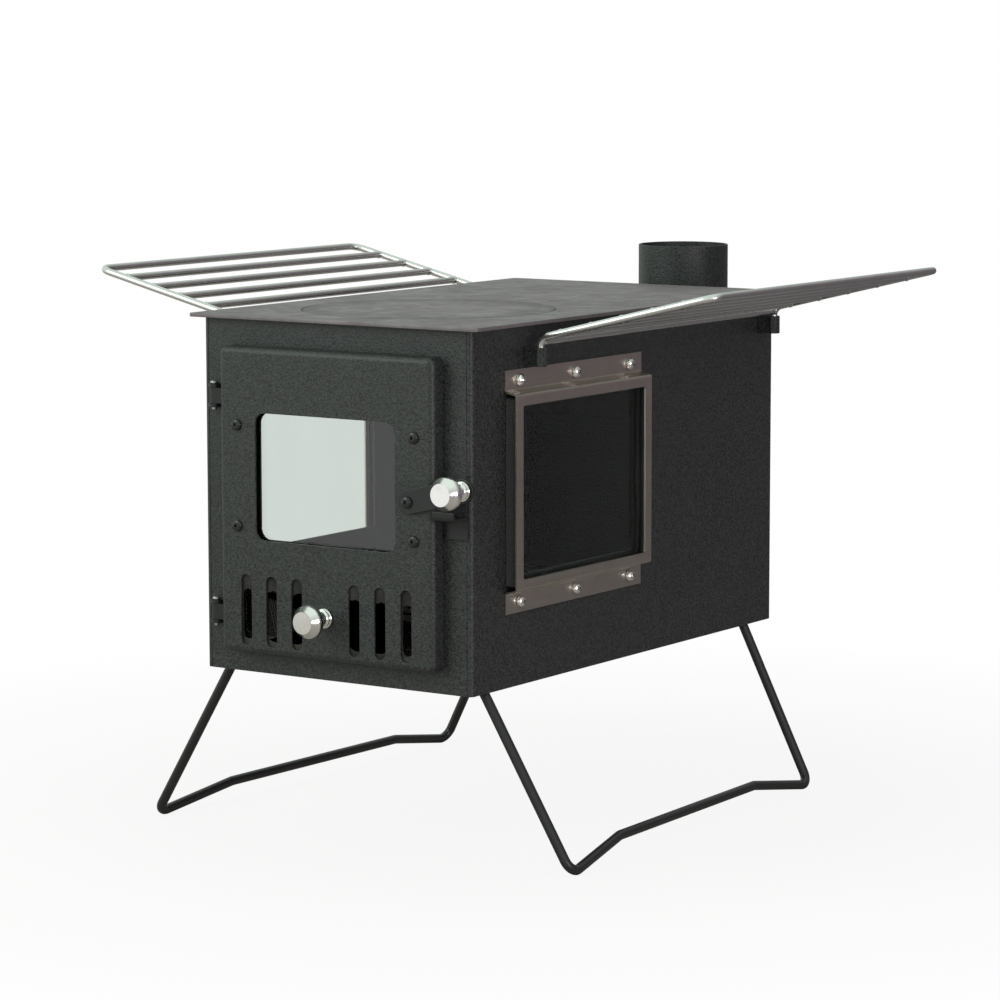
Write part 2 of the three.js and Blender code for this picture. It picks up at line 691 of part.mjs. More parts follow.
function addHinges() {
  const axisX = -doorWidth / 2 - hingeOffset;
  const axisY = frontY - hingeStand;
  const leafY = frontY - gap;
  const bore = hingePinRadius + gap;
  const half = hingeHeight / 2;
  const gapHalf = half - hingeEar;
  const barrel = hingeBarrelRadius;
  [['upper', hingeUpper], ['lower', hingeLower]].forEach(([place, height]) => {
    const ear = new THREE.Shape();
    ear.absarc(axisX, axisY, barrel + 0.5, Math.PI, 2 * Math.PI, false);
    ear.lineTo(axisX + hingeLeafWidth / 2, leafY);
    ear.lineTo(axisX - hingeLeafWidth / 2, leafY);
    ear.closePath();
    const middle = block(axisX - reach, axisX + reach, axisY - reach, leafY - hingeLeaf,
      height - gapHalf, height + gapHalf);
    add(stove, `${place}_hinge_bracket`, cut(slabXY(holed(ear, disc(bore, axisX, axisY)),
      height - half, height + half, holeSteps), middle), blackSteel());

    const pin = closed(turned([
      [0, -half - 2], [hingePinRadius, -half - 2], [hingePinRadius, half + gap],
      [hingePinRadius * 1.7, half + gap], [hingePinRadius * 1.7, half + gap + 1.2],
      [hingePinRadius, half + gap + 2.2], [0, half + gap + 2.2],
    ], 12).translate(axisX, axisY, height));
    add(stove, `${place}_hinge_pin`, pin, polished());

    const knuckle = new THREE.Shape();
    knuckle.absarc(axisX, axisY, barrel, Math.PI / 4, 1.75 * Math.PI, false);
    knuckle.lineTo(-doorWidth / 2 - gap, axisY - barrel * Math.SQRT1_2 + 0.5);
    knuckle.lineTo(-doorWidth / 2 - gap, axisY + barrel * Math.SQRT1_2);
    knuckle.closePath();
    add(stove, `${place}_door_knuckle`, closed(slabXY(holed(knuckle, disc(bore, axisX, axisY)),
      height - gapHalf + gap, height + gapHalf - gap, holeSteps)), blackSteel());
  });
}

// ---------------------------------------------------------------- air shutter
function addAirShutter() {
  const slotEdge = slotFirst + (slotsPerSide - 1) * slotPitch + slotWidth / 2;
  const left = -slotEdge - shutterBorder;
  const right = slotEdge + shutterBorder + shutterTravel;
  const back = shutterY + shutterSheet;
  const plate = roundedRect(right - left, shutterHigh - shutterLow, 0,
    (left + right) / 2, (shutterLow + shutterHigh) / 2);
  const shutter = slabXZ(holed(plate, ...airSlots(slotWidth, shutterSlotHeight, shutterSlotSill)),
    shutterY, back, smallSteps);
  const stemHole = bar(knobStem + gap, 'y', shutterY - reach, back + reach, 12).translate(0, 0, airKnobHeight);
  add(stove, 'air_shutter', cut(shutter, stemHole), blackSteel());

  const guideLeft = left - shutterTravel;
  const guideBack = back + gap + guideSheet;
  const guide = [];
  for (const [edge, up] of [[shutterHigh, 1], [shutterLow, -1]]) {
    const inner = edge + up * gap;
    const outer = inner + up * guideWeb;
    const lip = edge - up * guideLap;
    guide.push(block(guideLeft, right, shutterY, guideBack, Math.min(inner, outer), Math.max(inner, outer)));
    guide.push(block(guideLeft, right, back + gap, guideBack, Math.min(lip, outer), Math.max(lip, outer)));
  }
  const strapX = slotFirst + slotPitch / 2;
  for (const x of [-strapX, strapX]) {
    guide.push(block(x - guideStrapWidth / 2, x + guideStrapWidth / 2, back + gap, guideBack,
      shutterLow, shutterHigh));
  }
  add(stove, 'air_shutter_guide', join(...guide), blackSteel());

  const knob = add(stove, 'air_knob', knobGeometry(back - doorFaceY), polished());
  knob.position.set(0, doorFaceY - gap, airKnobHeight);
  knob.rotation.x = Math.PI / 2;
}

// ---------------------------------------------------------------- latch
function addLatch() {
  const end = leverWidth / 2;
  const strap = new THREE.Shape();
  strap.absarc(0, 0, end, Math.PI / 2, 1.5 * Math.PI, false);
  strap.absarc(leverReach, 0, end, -Math.PI / 2, Math.PI / 2, false);
  strap.closePath();
  const lever = add(stove, 'latch_lever', closed(slabXZ(holed(strap, disc(buttonHead.shank + gap),
    disc(knobStem + gap, leverReach, 0)), 0, leverSheet, holeSteps)), blackSteel());
  lever.position.set(leverPivotX, leverFaceY, leverPivotHeight);
  lever.rotation.y = -leverLift;

  const knob = add(stove, 'latch_knob', knobGeometry(leverSheet), polished());
  knob.position.set(leverPivotX + leverReach * Math.cos(leverLift), leverFaceY - gap,
    leverPivotHeight + leverReach * Math.sin(leverLift));
  knob.rotation.x = Math.PI / 2;

  const headY = leverFaceY - gap;
  const pivot = add(stove, 'latch_pivot_screw',
    screwGeometry(buttonHead, doorInnerY + gap - headY - 2 * gap), blackSteel());
  pivot.position.set(leverPivotX, headY, leverPivotHeight);
  pivot.rotation.x = Math.PI / 2;

  const ledgeTop = leverPivotHeight - end - 2 * gap;
  const ledge = ledgeTop - keeperSheet / 2;
  const lipY = leverFaceY - keeperRoom - keeperSheet / 2;
  const rootY = frontY - gap - keeperSheet / 2;
  const keeper = foldedOutline([[lipY, ledgeTop + keeperLip], [lipY, ledge], [rootY, ledge],
    [rootY, ledge - keeperTail]], keeperSheet, keeperSheet);
  const keeperX = doorWidth / 2 + keeperOffset;
  add(stove, 'latch_keeper', closed(slabYZ(keeper, keeperX, keeperX + keeperWidth)), blackSteel());
}

// ---------------------------------------------------------------- folding legs
function addLegs() {
  const half = legSpan / 2;
  const raised = legStrut - legFootRise / Math.cos(legSplay);
  const legPoint = (along, down, radius, out = 0) => [
    legHingeX + down * Math.sin(legSplay) + out, along, legHingeZ - down * Math.cos(legSplay), radius];
  const footPoint = (along, down, radius, front) => legPoint(along, down, radius, legToe * front * along / half);
  // front is -1 where the front end of the leg is at -Y, and 1 where it is at +Y.
  const legLine = (front) => bentLine([
    legPoint(-half + legTail, 0), legPoint(-half, 0, legBend), footPoint(-half, legStrut, legBend, front),
    footPoint(-half + legFootRun, raised, legFootBend, front),
    footPoint(half - legFootRun, raised, legFootBend, front),
    footPoint(half, legStrut, legBend, front), legPoint(half, 0, legBend), legPoint(half - legTail, 0),
  ]);
  const lugHalf = legRod + gap + lugWall;
  const lug = new THREE.Shape();
  lug.absarc(legHingeX, legHingeZ, lugHalf, Math.PI, 2 * Math.PI, false);
  lug.lineTo(legHingeX + lugHalf, skirtDrop - gap);
  lug.lineTo(legHingeX - lugHalf, skirtDrop - gap);
  lug.closePath();
  lug.holes.push(disc(legRod + gap, legHingeX, legHingeZ));
  bothSides(legCentreY, (group, side) => {
    add(group, `${side}_leg`, closed(rod(legLine(side === 'right' ? -1 : 1), disc(legRod), 4)), blackSteel());
    for (const [end, sign] of [['front', -1], ['rear', 1]]) {
      const near = sign * (half - lugSetIn);
      const far = sign * (half - lugSetIn - lugLength);
      const place = side === 'left' ? { front: 'rear', rear: 'front' }[end] : end;
      add(group, `${side}_${place}_leg_lug`, closed(slabXZ(lug, Math.min(near, far), Math.max(near, far), holeSteps)),
        heatPaint());
    }
  });
}

// ---------------------------------------------------------------- side racks
function addRacks() {
  const half = rackSpan / 2;
  const axisX = halfWidth + socketStand;
  const legLow = socketTop - socketLength + socketFloor + gap;
  const outerX = axisX + rackReach;
  const outerZ = rackKnee + rackReach * Math.tan(rackTilt);
  const frame = bentLine([
    [axisX, -half, legLow], [axisX, -half, rackKnee, rackBend], [outerX, -half, outerZ, rackCorner],
    [outerX, half, outerZ, rackCorner], [axisX, half, rackKnee, rackBend], [axisX, half, legLow],
  ]);
  const bars = [];
  for (let i = 1; i <= rackBars; i += 1) {
    bars.push([outerX - i * rackPitch, outerZ - i * rackPitch * Math.tan(rackTilt)]);
  }
  const kneeTurn = Math.PI / 6;
  bars.push([axisX + rackBend * (1 - Math.cos(kneeTurn)), rackTop + rackBend * Math.sin(kneeTurn)]);
  const rack = join(rod(frame, disc(rackRod), 4),
    ...bars.map(([x, z]) => bar(rackRod, 'y', -half, half, 8).translate(x, 0, z)));

  const socketRadius = rackRod + gap + socketWall;
  const boss = join(slabXY(disc(socketRadius, axisX, 0), socketTop - socketLength, socketTop, 4),
    block(halfWidth + gap, axisX, -socketWebWidth / 2, socketWebWidth / 2, socketTop - socketLength, socketTop));
  const bore = bar(rackRod + gap, 'z', socketTop - socketLength + socketFloor, socketTop + reach, 12);
  const socket = cut(boss, bore.translate(axisX, 0, 0));
  bothSides(rackCentreY, (group, side) => {
    add(group, `${side}_rack`, rack.clone(), bareRod());
    for (const [end, sign] of [['front', -1], ['rear', 1]]) {
      const place = side === 'left' ? { front: 'rear', rear: 'front' }[end] : end;
      add(group, `${side}_${place}_rack_socket`, socket.clone(), heatPaint()).position.y = sign * half;
    }
  });
}

addFirebox();
addTop();
addFlue();
addInside();
addSideWindows();
addDoor();
addHinges();
addAirShutter();
addLatch();
addLegs();
addRacks();

// The origin goes to the floor under the middle of the whole set.
const extent = new THREE.Box3().setFromObject(stove, true);
stove.position.set(0, -(extent.min.y + extent.max.y) / 2, -extent.min.z);

export default stove;
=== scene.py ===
"""Tent wood stove: the looks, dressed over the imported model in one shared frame.

Lengths in the piece builders are millimetres from the middle of the firebox's lower edge;
at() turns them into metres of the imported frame.
"""

import json
import math

import bmesh
import bpy
from mathutils import Matrix, Vector
from mathutils.geometry import delaunay_2d_cdt

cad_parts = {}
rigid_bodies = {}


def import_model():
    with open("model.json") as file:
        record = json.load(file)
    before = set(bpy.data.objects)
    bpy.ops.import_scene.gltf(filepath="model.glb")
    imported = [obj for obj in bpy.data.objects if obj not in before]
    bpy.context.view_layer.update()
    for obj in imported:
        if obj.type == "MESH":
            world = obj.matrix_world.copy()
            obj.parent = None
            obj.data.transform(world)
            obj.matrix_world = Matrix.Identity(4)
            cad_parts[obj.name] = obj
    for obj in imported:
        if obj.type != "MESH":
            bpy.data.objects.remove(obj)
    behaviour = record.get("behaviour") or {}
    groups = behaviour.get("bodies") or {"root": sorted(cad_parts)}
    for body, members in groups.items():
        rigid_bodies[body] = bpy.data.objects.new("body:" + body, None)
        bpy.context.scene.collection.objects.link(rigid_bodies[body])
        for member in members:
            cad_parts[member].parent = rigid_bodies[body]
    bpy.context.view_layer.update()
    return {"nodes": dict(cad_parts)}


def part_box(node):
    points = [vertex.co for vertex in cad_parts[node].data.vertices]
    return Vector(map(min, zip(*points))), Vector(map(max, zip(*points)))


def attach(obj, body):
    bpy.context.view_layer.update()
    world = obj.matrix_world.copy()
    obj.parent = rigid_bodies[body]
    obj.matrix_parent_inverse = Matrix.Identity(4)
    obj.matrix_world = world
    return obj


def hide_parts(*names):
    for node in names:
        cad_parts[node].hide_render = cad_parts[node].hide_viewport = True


bl_info = {
    "name": "Tent Wood Stove",
    "version": (1, 0, 0),
    "blender": (4, 5, 0),
    "location": "View3D > Sidebar > Stove",
    "description": "Builds a sheet steel tent stove with a glazed door, side windows and wire racks",
    "category": "Add Mesh",
}

for leftover in list(bpy.data.objects):
    bpy.data.objects.remove(leftover)
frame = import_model()
SHELL_LOW, SHELL_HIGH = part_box("firebox_shell")
MIDDLE_Y = (SHELL_LOW.y + SHELL_HIGH.y) / 2
MM = 0.001
SIDES = {"left": -1, "right": 1}

# Sizes and places that more than one piece takes its own from, in millimetres.
GAP = 0.3
HALF_WIDTH = 130
WALL = 2
FRONT = -232.5
BACK = 232.5
TOP = 285
PLATE = 3
DOOR_FACE = -247.5
DOOR_BACK = -233.0
DOOR_SHEET = 2
DOOR_CENTRE = 141
SIGHT_CENTRE = 161
LEVER_FACE = -250.8
LATCH_PIVOT = (82, 151.3)
AIR_HEIGHT = 53
SCREW_HOLE = 2.5
DOOR_SCREW = (86, 40.5)
HINGE_AXIS = (-114, -240)
HOT_PLATE_Y = FRONT + 129.5
FLUE_HEIGHT = 200
WINDOW_Y = FRONT + 145
WINDOW_Z = TOP - 130
WINDOW_PITCH = 81
WINDOW_RISE = 87.5
WINDOW_SCREWS = [(along, rise) for along in (-WINDOW_PITCH, 0, WINDOW_PITCH)
                 for rise in (-WINDOW_RISE, WINDOW_RISE)]
FRAME_SHEET = 1.5
SOCKET_STAND = 13.8

# Outlines with round corners: width, height and corner radius.
DOORWAY = (180, 218, 4)
TOP_PLATE = (280, 474, 4)
WALL_OPENING = (176, 132, 2)
WINDOW = (181, 137, 2)
DOOR = (208, 246, 6)
SIGHT = (136, 102, 9)
AIR_SLOT = (10.5, 57, 5.25)
KNOB_SLOT = (18.1, 5.6, 2.8)
DOOR_PANE = (152, 120, 4.5)
CLAMP_FRAME = (188, 140, 6)

# The sides that the light comes from, for the floor and for the surroundings.
KEY_SIDE = (-0.6, -0.8, 0.0)
SKY_SIDE = (-0.55, -0.75, 0.5)

# The face layer that marks faces to be kept flat.
FLAT = "flat"

# Turns a piece that stands up along Z to stand out of the door.
OUT_OF_DOOR = Matrix(((1, 0, 0), (0, 0, -1), (0, 1, 0))).to_4x4()


def at(x, y, z):
    """A place given from the middle of the firebox's lower edge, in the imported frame."""
    return Vector((x * MM, MIDDLE_Y + y * MM, SHELL_LOW.z + z * MM))


def facing_front(u, v, depth):
    """A sheet drawn in the door's plane; depth runs to the back."""
    return at(u, depth, v)


def facing_up(u, v, depth):
    """A sheet drawn in plan; depth runs down from the top of the plate."""
    return at(u, v, TOP + PLATE - depth)


def across_walls(u, v, depth):
    """A shape drawn on a side wall, u along it and v up; depth runs to the right, through both walls."""
    return at(depth, u, v)


# ---------------------------------------------------------------- settings


class StoveFinish(bpy.types.PropertyGroup):
    """Colours and grain of the finishes."""

    paint_colour: bpy.props.FloatVectorProperty(
        name="Paint", description="Heat-proof paint of the firebox and door", subtype="COLOR",
        size=3, min=0, max=1, default=(0.0245, 0.0262, 0.0258))
    satin_colour: bpy.props.FloatVectorProperty(
        name="Satin black", description="Legs, latch, hinges and the screws of the door", subtype="COLOR",
        size=3, min=0, max=1, default=(0.014, 0.014, 0.015))
    plate_colour: bpy.props.FloatVectorProperty(
        name="Top plate", description="Bare steel of the top plate and hot plate", subtype="COLOR",
        size=3, min=0, max=1, default=(0.2, 0.168, 0.18))
    window_frame_colour: bpy.props.FloatVectorProperty(
        name="Window frames", description="Brushed stainless sheet round the side windows", subtype="COLOR",
        size=3, min=0, max=1, default=(0.56, 0.5, 0.45))
    rod_colour: bpy.props.FloatVectorProperty(
        name="Rack wire", description="Bright drawn wire of the side racks", subtype="COLOR",
        size=3, min=0, max=1, default=(0.68, 0.67, 0.66))
    polish_colour: bpy.props.FloatVectorProperty(
        name="Polished steel", description="Knobs and window screws", subtype="COLOR",
        size=3, min=0, max=1, default=(0.9, 0.89, 0.87))
    glass_tint: bpy.props.FloatVectorProperty(
        name="Glass tint", description="Tint of the heat-proof glass", subtype="COLOR",
        size=3, min=0, max=1, default=(0.9, 0.945, 0.915))
    paint_grain: bpy.props.FloatProperty(
        name="Paint grain", description="Size of the grain in the paint", unit="LENGTH",
        min=0.0002, max=0.01, default=0.0015)
    # This reach also sets the width of the painted highlight along the top plate's edge.
    wear_and_highlight_reach: bpy.props.FloatProperty(
        name="Wear reach", description="How far rubbed edges run in from an edge", unit="LENGTH",
        min=0.0001, max=0.005, default=0.0007)


class StoveEdges(bpy.types.PropertyGroup):
    """Rounding of cut and folded sheet."""

    sheet_edge: bpy.props.FloatProperty(
        name="Sheet edge", description="Rounding of the cut edges of the sheets", unit="LENGTH",
        min=0.0, max=0.002, default=0.00035)
    door_fold: bpy.props.FloatProperty(
        name="Door fold", description="Outer radius of the folded rim of the door", unit="LENGTH",
        min=0.002, max=0.01, default=0.005)


class StoveRacks(bpy.types.PropertyGroup):
    """Sizes of the wire racks."""

    rod_radius: bpy.props.FloatProperty(
        name="Rod radius", description="Radius of the rack wire", unit="LENGTH",
        min=0.001, max=0.006, default=0.003)
    bars: bpy.props.IntProperty(
        name="Bars", description="Bars between the outer wire and the body", min=1, max=12, default=5)
    pitch: bpy.props.FloatProperty(
        name="Pitch", description="Level distance between neighbouring bars", unit="LENGTH",
        min=0.01, max=0.08, default=0.0279)
    bead: bpy.props.FloatProperty(
        name="Weld bead", description="Radius of the weld bead at the end of a bar", unit="LENGTH",
        min=0.0, max=0.006, default=0.0031)


class StoveFixings(bpy.types.PropertyGroup):
    """Sizes of the screw heads and the turned knobs."""

    recess_depth: bpy.props.FloatProperty(
        name="Recess depth", description="Depth of the driver recess in a screw head", unit="LENGTH",
        min=0.0, max=0.003, default=0.0017)
    screw_turn: bpy.props.FloatProperty(
        name="Screw turn", description="How far screws differ in the way they point", subtype="ANGLE",
        min=0.0, max=math.pi, default=1.2)
    turn_seed: bpy.props.IntProperty(
        name="Seed", description="Seed of the screws' turns", min=0, max=99, default=7)
    knob_sides: bpy.props.IntProperty(
        name="Knob sides", description="Facets round a turned knob", min=12, max=96, default=56)


class StoveStage(bpy.types.PropertyGroup):
    """Floor and light."""

    floor_colour: bpy.props.FloatVectorProperty(
        name="Floor", description="Pale floor under the stove", subtype="COLOR",
        size=3, min=0, max=1, default=(0.42, 0.365, 0.345))
    # Below 1 this leaves a painted grey shadow pool round the stove.
    floor_white: bpy.props.FloatProperty(
        name="Floor white", description="How far the floor under the stove is taken up to white",
        min=0, max=1, default=0.9)
    sky_colour: bpy.props.FloatVectorProperty(
        name="Lit side", description="Surrounding light from the front left", subtype="COLOR",
        size=3, min=0, max=1, default=(0.84, 0.97, 0.88))
    dim_colour: bpy.props.FloatVectorProperty(
        name="Dim side", description="Surrounding light from the back right", subtype="COLOR",
        size=3, min=0, max=1, default=(0.18, 0.15, 0.17))
    key_power: bpy.props.FloatProperty(
        name="Key lamp", description="Power of the large lamp at the front left", unit="POWER",
        min=0, max=500, default=26)
    fill_power: bpy.props.FloatProperty(
        name="Fill lamp", description="Power of the lamp at the right", unit="POWER",
        min=0, max=500, default=24)


GROUPS = {
    "stove_finish": StoveFinish,
    "stove_edges": StoveEdges,
    "stove_racks": StoveRacks,
    "stove_fixings": StoveFixings,
    "stove_stage": StoveStage,
}


# ---------------------------------------------------------------- node trees


def feed(tree, node, sockets):
    """Gives a node's sockets their values, or links them from other sockets."""
    for key, value in sockets.items():
        if isinstance(value, bpy.types.NodeSocket):
            tree.links.new(value, node.inputs[key])
        else:
            node.inputs[key].default_value = value
    return node


def put(tree, kind, sockets=None, **settings):
    """A new node with its settings and its sockets."""
    node = tree.nodes.new(kind)
    for key, value in settings.items():
        setattr(node, key, value)
    return feed(tree, node, sockets or {})


def sums(tree, operation, *values, **settings):
    """The result of a math node on numbers or sockets."""
    return put(tree, "ShaderNodeMath", dict(enumerate(values)), operation=operation, **settings).outputs[0]


def vectors(tree, operation, *values):
    """The result of a vector math node, which is a number for a length or a dot product."""
    node = put(tree, "ShaderNodeVectorMath", dict(enumerate(values)), operation=operation)
    return node.outputs["Value" if operation in ("LENGTH", "DOT_PRODUCT") else "Vector"]


def ramp(tree, value, start, end, low=0.0, high=1.0):
    """A number that runs from low to high while the value runs from start to end."""
    return put(tree, "ShaderNodeMapRange", {
        "Value": value, "From Min": start, "From Max": end, "To Min": low, "To Max": high}).outputs[0]


def noise(tree, place, scale, detail, rough=0.5, twist=0.0):
    """Noise about the middle of 0 and 1."""
    return put(tree, "ShaderNodeTexNoise", {
        "Vector": place, "Scale": scale, "Detail": detail, "Roughness": rough,
        "Distortion": twist}).outputs["Fac"]


def node_group(name, kind, inputs, outputs):
    """A new node group with named sockets: the tree, what it is given and what it gives."""
    tree = bpy.data.node_groups.new(name, kind)
    for label, socket_kind, value in inputs:
        socket = tree.interface.new_socket(label, in_out="INPUT", socket_type=f"NodeSocket{socket_kind}")
        if value is not None:
            socket.default_value = value
    for label, socket_kind in outputs:
        tree.interface.new_socket(label, in_out="OUTPUT", socket_type=f"NodeSocket{socket_kind}")
    return tree, tree.nodes.new("NodeGroupInput").outputs, tree.nodes.new("NodeGroupOutput").inputs


def shared(name, inputs, outputs=("Mask",)):
    """Marks a function that fills a shader node group; the group is made once, when first asked for."""
    def mark(fill):
        def group():
            if name not in bpy.data.node_groups:
                fill(*node_group(name, "ShaderNodeTree", [("Vector", "Vector", None), *inputs],
                                 [(label, "Float") for label in outputs]))
            return bpy.data.node_groups[name]
        return group
    return mark


@shared("Fine grain", [("Size", "Float", 0.001), ("Contrast", "Float", 0.5)], ("Mask", "Height"))
def fine_grain(tree, given, out):
    """Speckle of a sprayed or cast skin: a mask and a height."""
    scale = sums(tree, "DIVIDE", 1.0, given["Size"])
    speckle = noise(tree, given["Vector"], scale, 3.0, 0.6)
    cells = put(tree, "ShaderNodeTexVoronoi", {"Vector": given["Vector"], "Scale": scale},
                feature="SMOOTH_F1").outputs["Distance"]
    centred = sums(tree, "SUBTRACT", speckle, 0.5)
    tree.links.new(sums(tree, "MULTIPLY_ADD", centred, given["Contrast"], 0.5, use_clamp=True), out["Mask"])
    tree.links.new(sums(tree, "SUBTRACT", speckle, cells), out["Height"])


@shared("Cloudy patches", [("Size", "Float", 0.05), ("Twist", "Float", 0.6)])
def cloudy_patches(tree, given, out):
    """Broad uneven patches, as heat and handling leave on steel."""
    scale = sums(tree, "DIVIDE", 1.0, given["Size"])
    broad = noise(tree, given["Vector"], scale, 4.0, 0.55, given["Twist"])
    fine = noise(tree, given["Vector"], sums(tree, "MULTIPLY", scale, 6.0), 3.0)
    tree.links.new(ramp(tree, sums(tree, "MULTIPLY_ADD", fine, 0.3, broad), 0.48, 0.86), out["Mask"])


@shared("Edge wear and highlight", [("Reach", "Float", 0.0007), ("Amount", "Float", 0.5)])
def edge_wear_and_highlight(tree, given, out):
    """Lighter outside edges: a mask broken up by noise. On the paint it marks edge wear; on the top plate it
    carries a painted highlight.
    """
    soft = put(tree, "ShaderNodeBevel", {"Radius": given["Reach"]}, samples=4).outputs["Normal"]
    true = put(tree, "ShaderNodeNewGeometry").outputs["True Normal"]
    edge = ramp(tree, vectors(tree, "DOT_PRODUCT", soft, true), 0.995, 0.86)
    broken = ramp(tree, noise(tree, given["Vector"], 130.0, 4.0, 0.7), 0.42, 0.66)
    patchy_edge = sums(tree, "MULTIPLY", edge, broken)
    tree.links.new(sums(tree, "MULTIPLY", patchy_edge, given["Amount"], use_clamp=True), out["Mask"])


@shared("Drawn streaks", [("Along", "Vector", (1.0, 1.0, 1.0)), ("Contrast", "Float", 0.6)])
def drawn_streaks(tree, given, out):
    """Fine streaks along one way, as rolling, brushing or drawing leaves."""
    stretched = vectors(tree, "MULTIPLY", given["Vector"], given["Along"])
    centred = sums(tree, "SUBTRACT", noise(tree, stretched, 1.0, 5.0, 0.65), 0.5)
    tree.links.new(sums(tree, "MULTIPLY_ADD", centred, given["Contrast"], 0.5, use_clamp=True), out["Mask"])


def effect(tree, group, **sockets):
    """A shared effect placed in a material."""
    return put(tree, "ShaderNodeGroup", sockets, node_tree=group).outputs


def blank_material(name):
    """A material with a Principled BSDF, its tree and its object coordinates."""
    material = bpy.data.materials.new(name)
    material.use_nodes = True
    tree = material.node_tree
    tree.nodes.clear()
    shader = tree.nodes.new("ShaderNodeBsdfPrincipled")
    put(tree, "ShaderNodeOutputMaterial", {"Surface": shader.outputs["BSDF"]})
    return material, tree, shader, tree.nodes.new("ShaderNodeTexCoord").outputs["Object"]


def tint(colour):
    """A colour with its alpha, or a socket as it is."""
    return colour if isinstance(colour, bpy.types.NodeSocket) else (*colour, 1.0)


def blend_colours(tree, mask, low, high):
    """low where the mask is 0 and high where it is 1; any of them may be a socket."""
    return put(tree, "ShaderNodeMix", {0: mask, 6: tint(low), 7: tint(high)}, data_type="RGBA").outputs[2]


def shade(colour, factor):
    """The same colour, lighter or darker."""
    return tuple(channel * factor for channel in colour)


def two_tone(tree, mask, colour, low, high):
    """Two shades of one colour, by the mask."""
    return blend_colours(tree, mask, shade(colour, low), shade(colour, high))


def between(tree, mask, low, high):
    """A number that runs from low to high with the mask."""
    return ramp(tree, mask, 0.0, 1.0, low, high)


def relief(tree, height, depth):
    """A normal with bumps of that depth, in metres."""
    return put(tree, "ShaderNodeBump", {"Height": height, "Distance": depth, "Strength": 1.0}).outputs[0]


def finish_settings():
    """The colours and grain chosen for the finishes."""
    return bpy.context.scene.stove_finish


def painted_steel(name, colour, grain, rough, wear, bare, speck=0.95, lift=0.00022):
    """Sprayed black paint over steel: grain, cloudy sheen and rubbed edges."""
    reach = finish_settings().wear_and_highlight_reach
    material, tree, shader, place = blank_material(name)
    skin = effect(tree, fine_grain(), Vector=place, Size=grain, Contrast=3.4)
    cloud = effect(tree, cloudy_patches(), Vector=place, Size=0.09, Twist=0.4)["Mask"]
    worn_and_highlit = effect(tree, edge_wear_and_highlight(), Vector=place, Reach=reach, Amount=wear)["Mask"]
    flat = two_tone(tree, cloud, colour, 0.86, 1.16)
    speckled = two_tone(tree, skin["Mask"], colour, 1 - speck, 1 + speck)
    coat = blend_colours(tree, 0.75, flat, speckled)
    feed(tree, shader, {
        "Base Color": blend_colours(tree, worn_and_highlit, coat, bare), "Specular IOR Level": 0.42,
        "Roughness": between(tree, skin["Mask"], rough - 0.08, rough + 0.08),
        "Normal": relief(tree, skin["Height"], lift)})
    return material


def heat_paint():
    settings = finish_settings()
    return painted_steel("heat_proof_paint", settings.paint_colour, settings.paint_grain, 0.44, 0.35,
                         (0.075, 0.072, 0.07))


def satin_black():
    return painted_steel("satin_black_steel", finish_settings().satin_colour, 0.0007, 0.36, 0.3,
                         (0.1, 0.097, 0.094), 0.2, 0.00002)


def black_screw():
    return painted_steel("black_screw_steel", finish_settings().satin_colour, 0.0005, 0.2, 0.6,
                         (0.16, 0.155, 0.15), 0.2, 0.00001)


def soot_black():
    """Sheet inside the firebox, darkened by the fire."""
    material, tree, shader, place = blank_material("fire_darkened_steel")
    skin = effect(tree, fine_grain(), Vector=place, Size=0.0016, Contrast=2.0)
    cloud = effect(tree, cloudy_patches(), Vector=place, Size=0.05, Twist=1.2)["Mask"]
    steel = blend_colours(tree, cloud, (0.018, 0.017, 0.016), (0.07, 0.06, 0.052))
    sooty = between(tree, skin["Mask"], 0.0, 0.4)
    feed(tree, shader, {
        "Base Color": blend_colours(tree, sooty, steel, (0.012, 0.011, 0.011)),
        "Roughness": between(tree, cloud, 0.85, 0.6), "Metallic": 0.2,
        "Normal": relief(tree, skin["Height"], 0.0001)})
    return material


def hot_rolled_plate():
    """Bare top plate: mottled by heat, scorched about the hot plate, faintly streaked, with a painted
    highlight along its edge.
    """
    settings = finish_settings()
    colour = settings.plate_colour
    material, tree, shader, place = blank_material("bare_cooking_plate")
    cloud = effect(tree, cloudy_patches(), Vector=place, Size=0.045, Twist=1.6)["Mask"]
    streaks = effect(tree, drawn_streaks(), Vector=place, Along=(420.0, 22.0, 60.0), Contrast=1.4)["Mask"]
    skin = effect(tree, fine_grain(), Vector=place, Size=0.0012, Contrast=1.6)
    # Painted highlight: the edge mask lays a light green-grey line along the plate's edge.
    worn_and_highlit = effect(tree, edge_wear_and_highlight(), Vector=place, Reach=settings.wear_and_highlight_reach, Amount=0.7)["Mask"]
    from_middle = vectors(tree, "SUBTRACT", place, at(0, HOT_PLATE_Y, 0))
    reach = vectors(tree, "LENGTH", vectors(tree, "MULTIPLY", from_middle, (1.0, 1.0, 0.0)))
    scorch = ramp(tree, reach, 0.07, 0.1015, 0.0, 0.55)
    beyond = ramp(tree, reach, 0.1038, 0.105, 1.0, 0.0)
    mottled = two_tone(tree, cloud, colour, 0.7, 1.1)
    rolled = two_tone(tree, streaks, colour, 0.8, 1.15)
    bare = blend_colours(tree, 0.3, mottled, rolled)
    steel = blend_colours(tree, sums(tree, "MULTIPLY", scorch, beyond), bare, shade(colour, 0.35))
    feed(tree, shader, {
        "Base Color": blend_colours(tree, worn_and_highlit, steel, (0.3, 0.32, 0.29)), "Metallic": 0.45,
        "Roughness": between(tree, cloud, 0.62, 0.46), "Normal": relief(tree, skin["Height"], 0.00003)})
    return material


